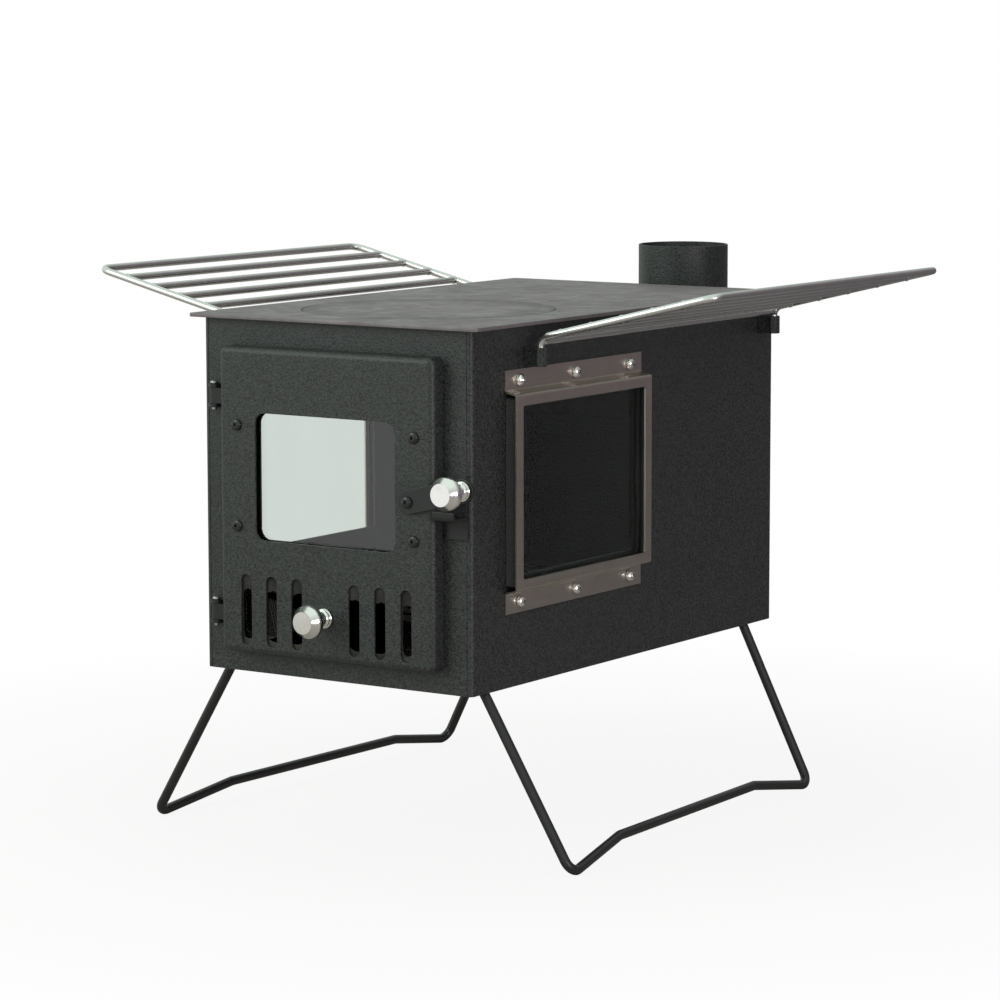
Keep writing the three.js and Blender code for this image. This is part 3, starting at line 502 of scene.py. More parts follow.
def bright_steel(name, colour, rough, along, contrast, spread=0.1):
    """Bare bright steel with fine streaks along one way."""
    material, tree, shader, place = blank_material(name)
    streaks = effect(tree, drawn_streaks(), Vector=place, Along=along, Contrast=contrast)["Mask"]
    cloud = effect(tree, cloudy_patches(), Vector=place, Size=0.03, Twist=0.8)["Mask"]
    drawn = two_tone(tree, streaks, colour, 1 - spread, 1 + spread)
    stained = two_tone(tree, cloud, colour, 0.84, 1.04)
    feed(tree, shader, {
        "Base Color": blend_colours(tree, 0.4, drawn, stained), "Metallic": 1.0,
        "Roughness": between(tree, streaks, rough - 0.05, rough + 0.07),
        "Normal": relief(tree, streaks, 0.000008)})
    return material


def window_frame_steel():
    colour = finish_settings().window_frame_colour
    return bright_steel("brushed_window_frame", colour, 0.33, (30.0, 14.0, 900.0), 1.6, 0.14)


def rack_wire():
    return bright_steel("bright_drawn_wire", finish_settings().rod_colour, 0.24, (700.0, 20.0, 700.0), 1.4)


def turned_steel(name, dim, rough, ring):
    """Polished steel off the lathe: fine rings along the profile, read from the piece's own UV map."""
    colour = shade(finish_settings().polish_colour, dim)
    material, tree, shader, place = blank_material(name)
    turning = put(tree, "ShaderNodeUVMap", uv_map="turning").outputs[0]
    along = put(tree, "ShaderNodeSeparateXYZ", {0: turning}).outputs["Y"]
    rings = put(tree, "ShaderNodeTexNoise", {
        "W": along, "Scale": 1.0 / ring, "Detail": 4.0, "Roughness": 0.7},
        noise_dimensions="1D").outputs["Fac"]
    cloud = effect(tree, cloudy_patches(), Vector=place, Size=0.012, Twist=0.5)["Mask"]
    tone = two_tone(tree, rings, colour, 0.86, 1.08)
    feed(tree, shader, {
        "Base Color": blend_colours(tree, between(tree, cloud, 0.0, 0.16), tone, shade(colour, 0.6)),
        "Roughness": between(tree, rings, rough - 0.04, rough + 0.08), "Metallic": 1.0,
        "Normal": relief(tree, rings, 0.000012)})
    return material


def woven_seal():
    """Flat woven rope of glass fibre, blackened: crossing threads on object coordinates."""
    material, tree, shader, place = blank_material("woven_rope_seal")
    axes = put(tree, "ShaderNodeSeparateXYZ", {0: place}).outputs
    slope = sums(tree, "ADD", axes["Y"], axes["X"])
    threads = [sums(tree, "SINE", sums(tree, "MULTIPLY", sums(tree, way, slope, axes["Z"]), 3200.0))
               for way in ("ADD", "SUBTRACT")]
    mask = ramp(tree, sums(tree, "MAXIMUM", *threads), -0.4, 1.0)
    fuzz = effect(tree, fine_grain(), Vector=place, Size=0.0005, Contrast=2.0)["Mask"]
    weave = blend_colours(tree, mask, (0.006, 0.006, 0.006), (0.045, 0.043, 0.04))
    feed(tree, shader, {
        "Base Color": blend_colours(tree, between(tree, fuzz, 0.0, 0.3), weave, (0.07, 0.067, 0.062)),
        "Roughness": between(tree, mask, 0.95, 0.8), "Sheen Weight": 0.15,
        "Normal": relief(tree, mask, 0.0002)})
    return material


def stove_glass(name, index, clear):
    """Heat-proof glass with a faint green tint and a trace of dust in its roughness; a clear below 1 darkens
    the tint, painted shade for the firebox seen through the side windows.
    """
    material, tree, shader, place = blank_material(name)
    cloud = effect(tree, cloudy_patches(), Vector=place, Size=0.04, Twist=0.9)["Mask"]
    colour = shade(finish_settings().glass_tint, clear)
    feed(tree, shader, {
        "Base Color": blend_colours(tree, cloud, shade(colour, 0.985), colour),
        "Roughness": between(tree, cloud, 0.0, 0.012), "Transmission Weight": 1.0, "IOR": index})
    return material


# Each finish: what makes its material, and its slot in the record.
FINISHES = {
    "paint": (heat_paint, "heat_paint"),
    "satin": (satin_black, "satin_black_steel"),
    "soot": (soot_black, "fire_darkened_steel"),
    "plate": (hot_rolled_plate, "bare_plate"),
    "window_frame": (window_frame_steel, "window_frame_steel"),
    "wire": (rack_wire, "rack_steel"),
    "knob": (lambda: turned_steel("turned_knob_steel", 1.0, 0.13, 0.00045), "polished_steel"),
    "screw": (lambda: turned_steel("polished_screw_steel", 1.0, 0.16, 0.0006), "polished_steel"),
    "black_screw": (black_screw, "satin_black_steel"),
    "pin": (lambda: turned_steel("dull_pin_steel", 0.4, 0.34, 0.0005), "polished_steel"),
    "seal": (woven_seal, "rope_seal"),
    "door_glass": (lambda: stove_glass("clear_door_glass", 1.47, 1.0), "door_glass"),
    # The side glass is tinted darker, by 0.76, as painted shade for the inside of the firebox seen through
    # it.
    "side_glass": (lambda: stove_glass("side_glass_darkened_for_shade", 1.14, 0.76), "side_glass"),
}
made_finishes = {}


def finish_of(key):
    """The material of a finish, made the first time that it is asked for."""
    if key not in made_finishes:
        made_finishes[key] = FINISHES[key][0]()
    return made_finishes[key]


# ---------------------------------------------------------------- shapes


def rounded(width, height, corner, u=0.0, v=0.0, steps=6):
    """A rectangle with round corners as a function of how far it is drawn in."""
    def outline(inset=0.0):
        half_u, half_v = width / 2 - inset, height / 2 - inset
        radius = min(max(corner - inset, 0.05), half_u, half_v)
        points = []
        for quarter, (su, sv) in enumerate(((1, 1), (-1, 1), (-1, -1), (1, -1))):
            for k in range(steps + 1):
                turn = (quarter + k / steps) * math.pi / 2
                point = (u + su * (half_u - radius) + radius * math.cos(turn),
                         v + sv * (half_v - radius) + radius * math.sin(turn))
                if not points or math.dist(point, points[-1]) > 1e-6:
                    points.append(point)
        return points[:-1] if math.dist(points[0], points[-1]) < 1e-6 else points
    return outline


def polar(radius, k, sides):
    """Corner k of a regular outline of that many sides."""
    return radius * math.cos(2 * math.pi * k / sides), radius * math.sin(2 * math.pi * k / sides)


def circle(radius, u=0.0, v=0.0, sides=32):
    """A round outline as a function of how far it is drawn in."""
    def outline(inset=0.0):
        return [(u + x, v + y) for x, y in (polar(radius - inset, k, sides) for k in range(sides))]
    return outline


def quarter(steps):
    """Angles from 0 to a right angle."""
    return [math.pi / 2 * k / steps for k in range(steps + 1)]


def strap(length, radius, steps=12):
    """A flat bar with round ends, from one pivot to another, as a function of how far it is drawn in."""
    def outline(inset=0.0):
        r = radius - inset
        points = []
        for centre, start in ((length, -math.pi / 2), (0.0, math.pi / 2)):
            for k in range(steps + 1):
                turn = start + math.pi * k / steps
                points.append((centre + r * math.cos(turn), r * math.sin(turn)))
        return points
    return outline


def eased(front, back, edge, steps=3):
    """The rim of a sheet from front to back with both edges rounded: (inset, depth) pairs."""
    near = [(edge * (1 - math.sin(turn)), front + edge * (1 - math.cos(turn))) for turn in quarter(steps)]
    return near + [(inset, front + back - depth) for inset, depth in reversed(near)]


def ring_of(bm, points, depth, place):
    """New corners along a flat outline at that depth."""
    return [bm.verts.new(place(u, v, depth)) for u, v in points]


def bridge(bm, near, far):
    """The faces between two rings."""
    for i, corner in enumerate(near):
        after = (i + 1) % len(near)
        bm.faces.new((corner, near[after], far[after], far[i]))


def inside(point, outline):
    """Whether a flat point lies inside an outline."""
    odd = False
    for (u0, v0), (u1, v1) in zip(outline, outline[1:] + outline[:1]):
        if (v0 > point.y) != (v1 > point.y) and point.x < u0 + (u1 - u0) * (point.y - v0) / (v1 - v0):
            odd = not odd
    return odd


def fill_between(bm, rings, outlines):
    """Closes a flat face between an outer ring and the rings of its holes, given with their outlines."""
    corners = [corner for ring in rings for corner in ring]
    flat = [Vector(point) for outline in outlines for point in outline]
    edges, start = [], 0
    for ring in rings:
        edges += [(start + k, start + (k + 1) % len(ring)) for k in range(len(ring))]
        start += len(ring)
    points, _, faces, origins, _, _ = delaunay_2d_cdt(flat, edges, [], 1, 1e-5)
    for face in faces:
        middle = sum((points[i] for i in face), Vector((0, 0))) / len(face)
        if not any(inside(middle, outline) for outline in outlines[1:]):
            bm.faces.new([corners[origins[i][0]] for i in face])[bm.faces.layers.int[FLAT]] = 1


def cut_sheet(outline, rim, holes, place):
    """A sheet with a shaped rim; each hole is (outline, rim), its rim drawn in towards the metal."""
    bm = bmesh.new()
    bm.faces.layers.int.new(FLAT)
    ends = []
    for shape, chain in [(outline, rim)] + [(hole, [(-inset, depth) for inset, depth in hole_rim])
                                            for hole, hole_rim in holes]:
        rings = [ring_of(bm, shape(inset), depth, place) for inset, depth in chain]
        for near, far in zip(rings, rings[1:]):
            bridge(bm, near, far)
        ends.append([(rings[i], shape(chain[i][0])) for i in (0, -1)])
    for side in zip(*ends):
        fill_between(bm, [ring for ring, flat in side], [flat for ring, flat in side])
    bmesh.ops.recalc_face_normals(bm, faces=bm.faces)
    return bm


def lathe(profile, sides, place):
    """A solid of (radius, height) pairs that start and end on the axis, with its own turning UV map."""
    bm = bmesh.new()
    layer = bm.loops.layers.uv.new("turning")
    flat = bm.faces.layers.int.new(FLAT)
    lengths = [0.0]
    for (r0, h0), (r1, h1) in zip(profile, profile[1:]):
        lengths.append(lengths[-1] + math.hypot(r1 - r0, h1 - h0) * MM)
    rings = []
    for r, h in profile:
        if r == 0:
            rings.append([bm.verts.new(place(0, 0, h))])
        else:
            rings.append([bm.verts.new(place(*polar(r, k, sides), h)) for k in range(sides)])
    for i, (near, far) in enumerate(zip(rings, rings[1:])):
        for k in range(sides):
            after = (k + 1) % sides
            corners = [(near, k, i), (near, after, i), (far, after, i + 1), (far, k, i + 1)]
            if len(near) == 1:
                corners = [(near, 0, i), (far, after, i + 1), (far, k, i + 1)]
            elif len(far) == 1:
                corners = [(near, k, i), (near, after, i), (far, 0, i + 1)]
            face = bm.faces.new([ring[min(j, len(ring) - 1)] for ring, j, level in corners])
            face[flat] = profile[i][1] == profile[i + 1][1]
            for loop, (ring, j, level) in zip(face.loops, corners):
                turn = k + 1 if j == after and after == 0 else j
                loop[layer].uv = (turn / sides, lengths[level])
    bmesh.ops.recalc_face_normals(bm, faces=bm.faces)
    return bm


def bent_path(corners, step=math.pi / 24):
    """Points of a line through the corners with an arc at each; corners are (place, radius)."""
    points = [Vector(place) for place, radius in corners]
    path = [points[0]]
    for i in range(1, len(points) - 1):
        into = (points[i] - points[i - 1]).normalized()
        out = (points[i + 1] - points[i]).normalized()
        turn = into.angle(out)
        radius = corners[i][1]
        start = points[i] - into * radius * math.tan(turn / 2)
        centre = points[i] + (out - into).normalized() * radius / math.cos(turn / 2)
        axis = into.cross(out).normalized()
        steps = max(1, math.ceil(turn / step))
        for k in range(steps + 1):
            path.append(centre + Matrix.Rotation(turn * k / steps, 3, axis) @ (start - centre))
    path.append(points[-1])
    return path


def sweep(bm, path, radius, sides, bore=None, eased_end=0.0):
    """A rod or, with a bore, a tube along the path; lengths in metres."""
    forward = [(b - a).normalized() for a, b in zip(path, path[1:])]
    tangents = [forward[0]] + [(a + b).normalized() for a, b in zip(forward, forward[1:])] + [forward[-1]]
    across = tangents[0].orthogonal().normalized()
    stations = []
    for i, (point, tangent) in enumerate(zip(path, tangents)):
        if i:
            across = tangents[i - 1].rotation_difference(tangent) @ across
        stations.append((point, tangent, across.copy()))

    def ring(station, r, shift=0.0):
        point, tangent, side = station
        up = tangent.cross(side)
        return [bm.verts.new(point + tangent * shift + (side * math.cos(a) + up * math.sin(a)) * r)
                for a in (2 * math.pi * k / sides for k in range(sides))]

    ease = [(0.0, 0.0)]
    if eased_end:
        ease = [(eased_end * (1 - math.cos(t)), eased_end * (1 - math.sin(t))) for t in quarter(3)]
    outer = [ring(stations[0], radius - inset, shift) for shift, inset in ease]
    outer += [ring(station, radius) for station in stations[1:-1]]
    outer += [ring(stations[-1], radius - inset, -shift) for shift, inset in reversed(ease)]
    for near, far in zip(outer, outer[1:]):
        bridge(bm, near, far)
    if bore is None:
        bm.faces.new(outer[0])
        bm.faces.new(outer[-1])
    else:
        inner = [ring(station, bore) for station in stations]
        for near, far in zip(inner, inner[1:]):
            bridge(bm, near, far)
        bridge(bm, outer[0], inner[0])
        bridge(bm, outer[-1], inner[-1])


def soften(bm, limit=math.radians(34)):
    """Smooth faces, flat where they are marked so; an edge that turns by more than the limit stays sharp."""
    flat = bm.faces.layers.int.get(FLAT)
    for face in bm.faces:
        face.smooth = not (flat and face[flat])
    if flat:
        bm.faces.layers.int.remove(flat)
    for edge in bm.edges:
        edge.smooth = len(edge.link_faces) != 2 or edge.calc_face_angle(0.0) < limit


def add_object(name, data):
    """A new object in the scene."""
    thing = bpy.data.objects.new(name, data)
    bpy.context.scene.collection.objects.link(thing)
    return thing


def object_of(name, bm):
    """A new object in the scene from a worked mesh, which is freed."""
    mesh = bpy.data.meshes.new(name)
    bm.to_mesh(mesh)
    bm.free()
    return add_object(name, mesh)


def settle(thing, finish, body, *nodes):
    """Gives a finished object its material and hands it to the frame: it stands for its CAD nodes."""
    material = finish_of(finish)
    if not thing.data.materials:
        thing.data.materials.append(material)
    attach(thing, body)
    if nodes:
        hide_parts(*nodes)
    return thing


def piece(name, bm, finish, body, *nodes):
    """A finished piece that rides on its body."""
    soften(bm)
    return settle(object_of(name, bm), finish, body, *nodes)


def plain_mesh(thing, name):
    """The object with its modifiers worked out, as a new plain mesh object in its place."""
    depsgraph = bpy.context.evaluated_depsgraph_get()
    mesh = bpy.data.meshes.new_from_object(thing.evaluated_get(depsgraph), depsgraph=depsgraph)
    mesh.name = name
    old = thing.data
    thing.modifiers.clear()
    thing.data = mesh
    bpy.data.meshes.remove(old)
    thing.name = name
    return thing


def eased_piece(name, bm, finish, body, *nodes, edge=None, limit=36, miter="MITER_SHARP"):
    """A piece from a worked solid, its cut edges rounded by a bevel that is then worked out."""
    soften(bm)
    thing = object_of(name, bm)
    bevel = thing.modifiers.new("edge", "BEVEL")
    bevel.width = bpy.context.scene.stove_edges.sheet_edge if edge is None else edge
    bevel.segments = 2
    bevel.limit_method = "ANGLE"
    bevel.angle_limit = math.radians(limit)
    bevel.harden_normals = True
    bevel.miter_outer = miter
    return settle(plain_mesh(thing, name), finish, body, *nodes)


def dressed(name, node, finish, body, edge=None):
    """A copy of a CAD sheet with its cut edges rounded, which stands for the sheet."""
    bm = bmesh.new()
    bm.from_mesh(frame["nodes"][node].data)
    bmesh.ops.remove_doubles(bm, verts=bm.verts, dist=2e-6)
    bmesh.ops.dissolve_limit(bm, angle_limit=math.radians(0.6), verts=bm.verts, edges=bm.edges)
    return eased_piece(name, bm, finish, body, node, edge=edge, miter="MITER_ARC")


def facing_side(sign, centre_y=0.0, centre_z=0.0):
    """Places for a sheet on a side wall: u runs along the wall, v up, and depth out from the middle."""
    def place(u, v, depth):
        return at(sign * depth, centre_y + sign * u, centre_z + v)
    return place


def out_of_door(x, y, z):
    """Places for a turned piece that stands out of the door."""
    def place(u, v, height):
        return at(x + u, y - height, z + v)
    return place


def prism(points, low, high, place, taper=None):
    """A solid of that outline from one depth to another; a tapered outline takes its place at the start."""
    bm = bmesh.new()
    near = ring_of(bm, taper or points, low, place)
    far = ring_of(bm, points, high, place)
    bridge(bm, near, far)
    bm.faces.new(near)
    bm.faces.new(far)
    bmesh.ops.recalc_face_normals(bm, faces=bm.faces)
    return bm


def folded(corners, sheet, fold, steps=5):
    """The outline of a sheet bent along the corners; fold is the radius of its middle line."""
    middle = [Vector((u, v, 0)) for u, v in corners]
    line = bent_path([(point, fold) for point in middle], math.pi / 2 / steps)
    near, far = [], []
    for i, point in enumerate(line):
        before = line[max(i - 1, 0)]
        after = line[min(i + 1, len(line) - 1)]
        along = (after - before).normalized()
        if 0 < i < len(line) - 1:
            into, out = (point - before).normalized(), (after - point).normalized()
            along = (into + out).normalized()
        side = Vector((-along.y, along.x, 0)) * sheet / 2
        if 0 < i < len(line) - 1:
            side = side / max(0.5, along.dot((after - point).normalized()))
        near.append((point.x + side.x, point.y + side.y))
        far.append((point.x - side.x, point.y - side.y))
    return near + far[::-1]


def drop(*things):
    """Throws working objects away, with their data."""
    for thing in things:
        data = thing.data
        bpy.data.objects.remove(thing)
        (bpy.data.meshes if isinstance(data, bpy.types.Mesh) else bpy.data.curves).remove(data)


def carve(bm, cutters):
    """The solid with the cutters taken out of it."""
    base = object_of("uncut", bm)
    tools = [object_of("cutter", cutter) for cutter in cutters]
    for tool in tools:
        taking = base.modifiers.new("cut", "BOOLEAN")
        taking.operation = "DIFFERENCE"
        taking.solver = "EXACT"
        taking.object = tool
    plain_mesh(base, "cut")
    result = bmesh.new()
    result.from_mesh(base.data)
    drop(base, *tools)
    bmesh.ops.remove_doubles(result, verts=result.verts, dist=1e-6)
    bmesh.ops.dissolve_limit(result, angle_limit=math.radians(0.5), verts=result.verts, edges=result.edges)
    return result


# ---------------------------------------------------------------- repeated pieces


def geometry_group(name, inputs):
    """A geometry node tree with named inputs: the tree, what it is given and its output."""
    tree, given, out = node_group(name, "GeometryNodeTree", inputs, [("Geometry", "Geometry")])
    return tree, given, out["Geometry"]


def finish_tree(tree, geometry, material, out):
    """Ends a tree in Realize Instances and Set Material."""
    real = put(tree, "GeometryNodeRealizeInstances", {"Geometry": geometry}).outputs[0]
    set_material = put(tree, "GeometryNodeSetMaterial", {"Geometry": real, "Material": material})
    tree.links.new(set_material.outputs[0], out)


def join_parts(tree, *parts):
    """One geometry of several."""
    node = tree.nodes.new("GeometryNodeJoinGeometry")
    for part in parts:
        tree.links.new(part, node.inputs[0])
    return node.outputs[0]


def grown(name, tree, values, finish, place, body, *nodes):
    """A piece made by a tree from those values, put in its place as a plain mesh."""
    thing = object_of(name, bmesh.new())
    modifier = thing.modifiers.new("make", "NODES")
    modifier.node_group = tree
    given = dict(values, Finish=finish_of(finish))
    for item in tree.interface.items_tree:
        if item.in_out == "INPUT" and item.name in given:
            modifier[item.identifier] = given.pop(item.name)
    if given:
        raise RuntimeError(f"{name}: the tree has no input {sorted(given)}")
    plain_mesh(thing, name)
    if not thing.data.polygons:
        raise RuntimeError(f"{name}: the tree made nothing")
    bm = bmesh.new()
    bm.from_mesh(thing.data)
    bmesh.ops.transform(bm, matrix=place, verts=bm.verts)
    bmesh.ops.recalc_face_normals(bm, faces=bm.faces)
    soften(bm)
    bm.to_mesh(thing.data)
    bm.free()
    return settle(thing, finish, body, *nodes)


def screw_grid():
    """Screws in columns and rows, each turned its own way about its axis."""
    tree, given, out = geometry_group("Screw grid", [
        ("Screw", "Object", None), ("Columns", "Int", 3), ("Rows", "Int", 2),
        ("Column pitch", "Float", 0.081), ("Row pitch", "Float", 0.175),
        ("Turn", "Float", 1.0), ("Seed", "Int", 7), ("Finish", "Material", None)])

    def spread(way):
        steps = sums(tree, "SUBTRACT", given[f"{way}s"], 1.0)
        return sums(tree, "MULTIPLY", steps, given[f"{way} pitch"])

    grid = put(tree, "GeometryNodeMeshGrid", {
        "Size X": spread("Column"), "Size Y": spread("Row"),
        "Vertices X": given["Columns"], "Vertices Y": given["Rows"]}).outputs["Mesh"]
    head = put(tree, "GeometryNodeObjectInfo", {"Object": given["Screw"]}).outputs["Geometry"]
    angle = put(tree, "FunctionNodeRandomValue", {
        "Min": sums(tree, "MULTIPLY", given["Turn"], -1.0), "Max": given["Turn"], "Seed": given["Seed"]},
        data_type="FLOAT")
    turn = put(tree, "ShaderNodeCombineXYZ", {
        "Z": next(socket for socket in angle.outputs if socket.enabled)}).outputs[0]
    screws = put(tree, "GeometryNodeInstanceOnPoints", {
        "Points": grid, "Instance": head, "Rotation": turn}).outputs[0]
    finish_tree(tree, screws, given["Finish"], out)
    return tree


def wire_rack():
    """A bent outer wire with straight bars welded across it."""
    tree, given, out = geometry_group("Wire rack", [
        ("Outer wire", "Object", None), ("Bars", "Int", 5), ("Pitch", "Float", 0.028),
        ("Tilt", "Float", 0.247), ("Span", "Float", 0.356),
        ("Outer bar", "Vector", (0.3, 0.0, 0.3)), ("Inner bar", "Vector", (0.14, 0.0, 0.27)),
        ("Rod radius", "Float", 0.003), ("Bead", "Float", 0.0035), ("Finish", "Material", None)])

    def vector(**parts):
        return put(tree, "ShaderNodeCombineXYZ", parts).outputs[0]

    def rod(line):
        return put(tree, "GeometryNodeCurveToMesh", {
            "Curve": line, "Profile Curve": section, "Fill Caps": True}).outputs[0]

    section = put(tree, "GeometryNodeCurvePrimitiveCircle", {
        "Resolution": 18, "Radius": given["Rod radius"]}).outputs[0]
    loop = rod(put(tree, "GeometryNodeObjectInfo", {"Object": given["Outer wire"]}).outputs["Geometry"])

    inward = sums(tree, "MULTIPLY", given["Pitch"], -1.0)
    fall = sums(tree, "MULTIPLY", inward, sums(tree, "TANGENT", given["Tilt"]))
    step = vector(X=inward, Z=fall)
    row = put(tree, "GeometryNodeMeshLine", {
        "Count": given["Bars"], "Start Location": vectors(tree, "ADD", given["Outer bar"], step),
        "Offset": step}).outputs[0]
    knee = put(tree, "GeometryNodeMeshLine", {"Count": 1, "Start Location": given["Inner bar"]}).outputs[0]
    points = join_parts(tree, row, knee)

    half = sums(tree, "MULTIPLY", given["Span"], 0.5)
    near = sums(tree, "MULTIPLY", half, -1.0)
    line = put(tree, "GeometryNodeCurvePrimitiveLine", {
        "Start": vector(Y=near), "End": vector(Y=half)}).outputs[0]
    bars = put(tree, "GeometryNodeInstanceOnPoints", {"Points": points, "Instance": rod(line)}).outputs[0]

    beads = []
    room = sums(tree, "MULTIPLY", given["Rod radius"], 0.8)
    for end, way in ((near, 1.0), (half, -1.0)):
        spots = put(tree, "GeometryNodeSetPosition", {
            "Geometry": points, "Offset": vector(Y=sums(tree, "MULTIPLY_ADD", room, way, end))}).outputs[0]
        bead = put(tree, "GeometryNodeMeshIcoSphere", {"Radius": given["Bead"], "Subdivisions": 2}).outputs[0]
        beads.append(put(tree, "GeometryNodeInstanceOnPoints", {
            "Points": spots, "Instance": bead, "Scale": (1.2, 0.75, 1.2)}).outputs[0])
    finish_tree(tree, join_parts(tree, loop, bars, *beads), given["Finish"], out)
    return tree


def screw_solid(radius, height, shank, low, nut, recess):
    """A dome-headed screw with its nut and a driver recess, standing up along Z from the face it clamps."""
    flat, wall = (0.2, 0.16) if recess == "cross" else (0.4, 0.3)
    profile = [(0, low - 3), (nut, low - 3), (nut, low), (shank, low), (shank, 0), (radius - 0.15, 0),
               (radius, 0.15), (radius, height * wall)]
    for turn in quarter(10)[1:-1]:
        profile.append((radius * (flat + (1 - flat) * math.cos(turn)),
                        height * (wall + (1 - wall) * math.sin(turn))))
    profile += [(radius * flat, height), (0, height)]

    def place(u, v, h):
        return Vector((u, v, h)) * MM

    depth = bpy.context.scene.stove_fixings.recess_depth / MM
    if recess == "cross":
        arm, wide = radius * 0.52, radius * 0.13
        shape = [(wide, wide), (wide, arm), (-wide, arm), (-wide, wide), (-arm, wide), (-arm, -wide),
                 (-wide, -wide), (-wide, -arm), (wide, -arm), (wide, -wide), (arm, -wide), (arm, wide)]
        taper = [(u * 0.72, v * 0.72) for u, v in shape]
    else:
        shape = [polar(radius * 0.36, k, 6) for k in range(6)]
        taper = shape
    return carve(lathe(profile, 32, place), [prism(shape, height - depth, height + 1, place, taper)])


def button_head(low):
    """The button-head screw of the door, with its nut at that depth."""
    return screw_solid(4.75, 2.5, 2.2, low, 3.8, "hex")


def knob_solid(grip, place):
    """A turned knob: ringed base, waist, flared head with a bevelled rim and a flat face, riveted stem."""
    end = -2 * GAP - grip
    profile = [
        (0, end - 2), (4.25, end - 2), (4.25, end), (2.5, end), (2.5, 0), (7.7, 0), (8, 0.3), (8, 2.0),
        (7.7, 2.4), (7.1, 2.5), (7.0, 2.9), (7.0, 3.5), (6.8, 3.9), (6.0, 4.3), (5.35, 5.3), (5.05, 6.6),
        (5, 8.2), (5, 10.6),
        (5.2, 12.0), (5.8, 13.2), (6.9, 14.5), (8.6, 15.9), (10.7, 17.4), (12.2, 18.4), (13.0, 19.1),
        (13.4, 19.8), (13.5, 20.6), (13.5, 22.5), (13.4, 23.2), (13.1, 24.0), (12.6, 24.9), (9.1, 29.55),
        (8.9, 30), (0, 30)]
    return lathe(profile, bpy.context.scene.stove_fixings.knob_sides, place)


# ---------------------------------------------------------------- operators


class STOVE_OT_firebox(bpy.types.Operator):
    """Wrapped side and back sheet, front panel and floor of the firebox"""

    bl_idname = "stove.firebox"
    bl_label = "Firebox sheets"

    def execute(self, context):
        side, front, back, lip = HALF_WIDTH - WALL / 2, FRONT + WALL / 2, BACK - WALL / 2, HALF_WIDTH - 4.5
        corners = [(-lip, front), (-side, front), (-side, back), (side, back), (side, front), (lip, front)]
        outlines = [rounded(*WALL_OPENING, WINDOW_Y, WINDOW_Z, 4)]
        outlines += [circle(2.7, WINDOW_Y + along, WINDOW_Z + rise, 20) for along, rise in WINDOW_SCREWS]
        cutters = [prism(outline(), -170, 170, across_walls) for outline in outlines]
        cutters.append(prism(circle(38.5, 0, FLUE_HEIGHT, 64)(), BACK - 40, BACK + 40, facing_front))
        solid = prism(folded(corners, WALL, 3, 8), 0, TOP - GAP, at)
        eased_piece("firebox_wrap", carve(solid, cutters), "paint", "stove_body", "firebox_shell")

        height = TOP - GAP
        rim = eased(FRONT, FRONT + WALL, context.scene.stove_edges.sheet_edge / MM)
        doorway = (rounded(*DOORWAY, 0, DOOR_CENTRE), rim)
        panel = cut_sheet(rounded(250.4, height, 1, 0, height / 2), rim, [doorway], facing_front)
        piece("firebox_front", panel, "paint", "stove_body", "front_panel")
        dressed("firebox_floor", "floor_plate", "soot", "stove_body")
        return {"FINISHED"}


class STOVE_OT_top(bpy.types.Operator):
    """Top plate and the round hot plate let into it"""

    bl_idname = "stove.top"
    bl_label = "Top plates"

    def execute(self, context):
        ledge = 1.5
        well = (circle(96, 0, HOT_PLATE_Y, 96),
                [(7.8, 0), (7.3, 0.2), (7, 0.7), (7, ledge), (0, ledge), (0, PLATE)])
        sheet = cut_sheet(rounded(*TOP_PLATE, 0, -3.5, 8), eased(0, PLATE, 0.5), [well], facing_up)
        piece("cooking_plate", sheet, "plate", "stove_body", "top_plate")
        rim, top = TOP + PLATE - ledge + GAP, TOP + PLATE
        lid = lathe([(0, TOP - 3), (95.3, TOP - 3), (95.7, TOP - 2.6), (95.7, rim), (102.7, rim),
                     (102.7, top - 0.7), (102.4, top - 0.2), (101.9, top), (3.0, top), (2.6, top - 0.12),
                     (2.5, top - 0.4), (2.5, top - 2.5), (0, top - 2.5)],
                    96, lambda u, v, h: at(u, HOT_PLATE_Y + v, h))
        piece("round_hot_plate", lid, "plate", "hot_plate", "hot_plate_lid")
        return {"FINISHED"}


class STOVE_OT_flue(bpy.types.Operator):
    """Flue elbow at the back and the ring it stands in"""

    bl_idname = "stove.flue"
    bl_label = "Flue elbow"

    def execute(self, context):
        start, axis, radius, bore, sheet, sides = BACK + GAP, BACK + GAP + 64, 40, 38.5, 2.5, 72
        path = bent_path([(at(0, start, FLUE_HEIGHT), 0), (at(0, axis, FLUE_HEIGHT), 60 * MM),
                          (at(0, axis, FLUE_HEIGHT + 120), 0)], math.pi / 48)
        bm = bmesh.new()
        sweep(bm, path, radius * MM, sides, bore=bore * MM)
        bmesh.ops.recalc_face_normals(bm, faces=bm.faces)
        eased_piece("flue_bend", bm, "paint", "stove_body", "flue_elbow", edge=0.0004, limit=60)
        hole = (circle(radius + GAP, 0, FLUE_HEIGHT, sides), eased(start, start + sheet, 0.3))
        outer, rim = circle(radius + 14, 0, FLUE_HEIGHT, sides), eased(start, start + sheet, 0.4)
        piece("flue_flange", cut_sheet(outer, rim, [hole], facing_front), "paint", "stove_body", "flue_ring")
        return {"FINISHED"}


class STOVE_OT_inside(bpy.types.Operator):
    """Slotted fire grate and the baffle before the flue"""

    bl_idname = "stove.inside"
    bl_label = "Grate and baffle"

    def execute(self, context):
        dressed("slotted_grate", "fire_grate", "soot", "stove_body")
        dressed("hung_baffle", "flue_baffle", "soot", "stove_body")
        return {"FINISHED"}


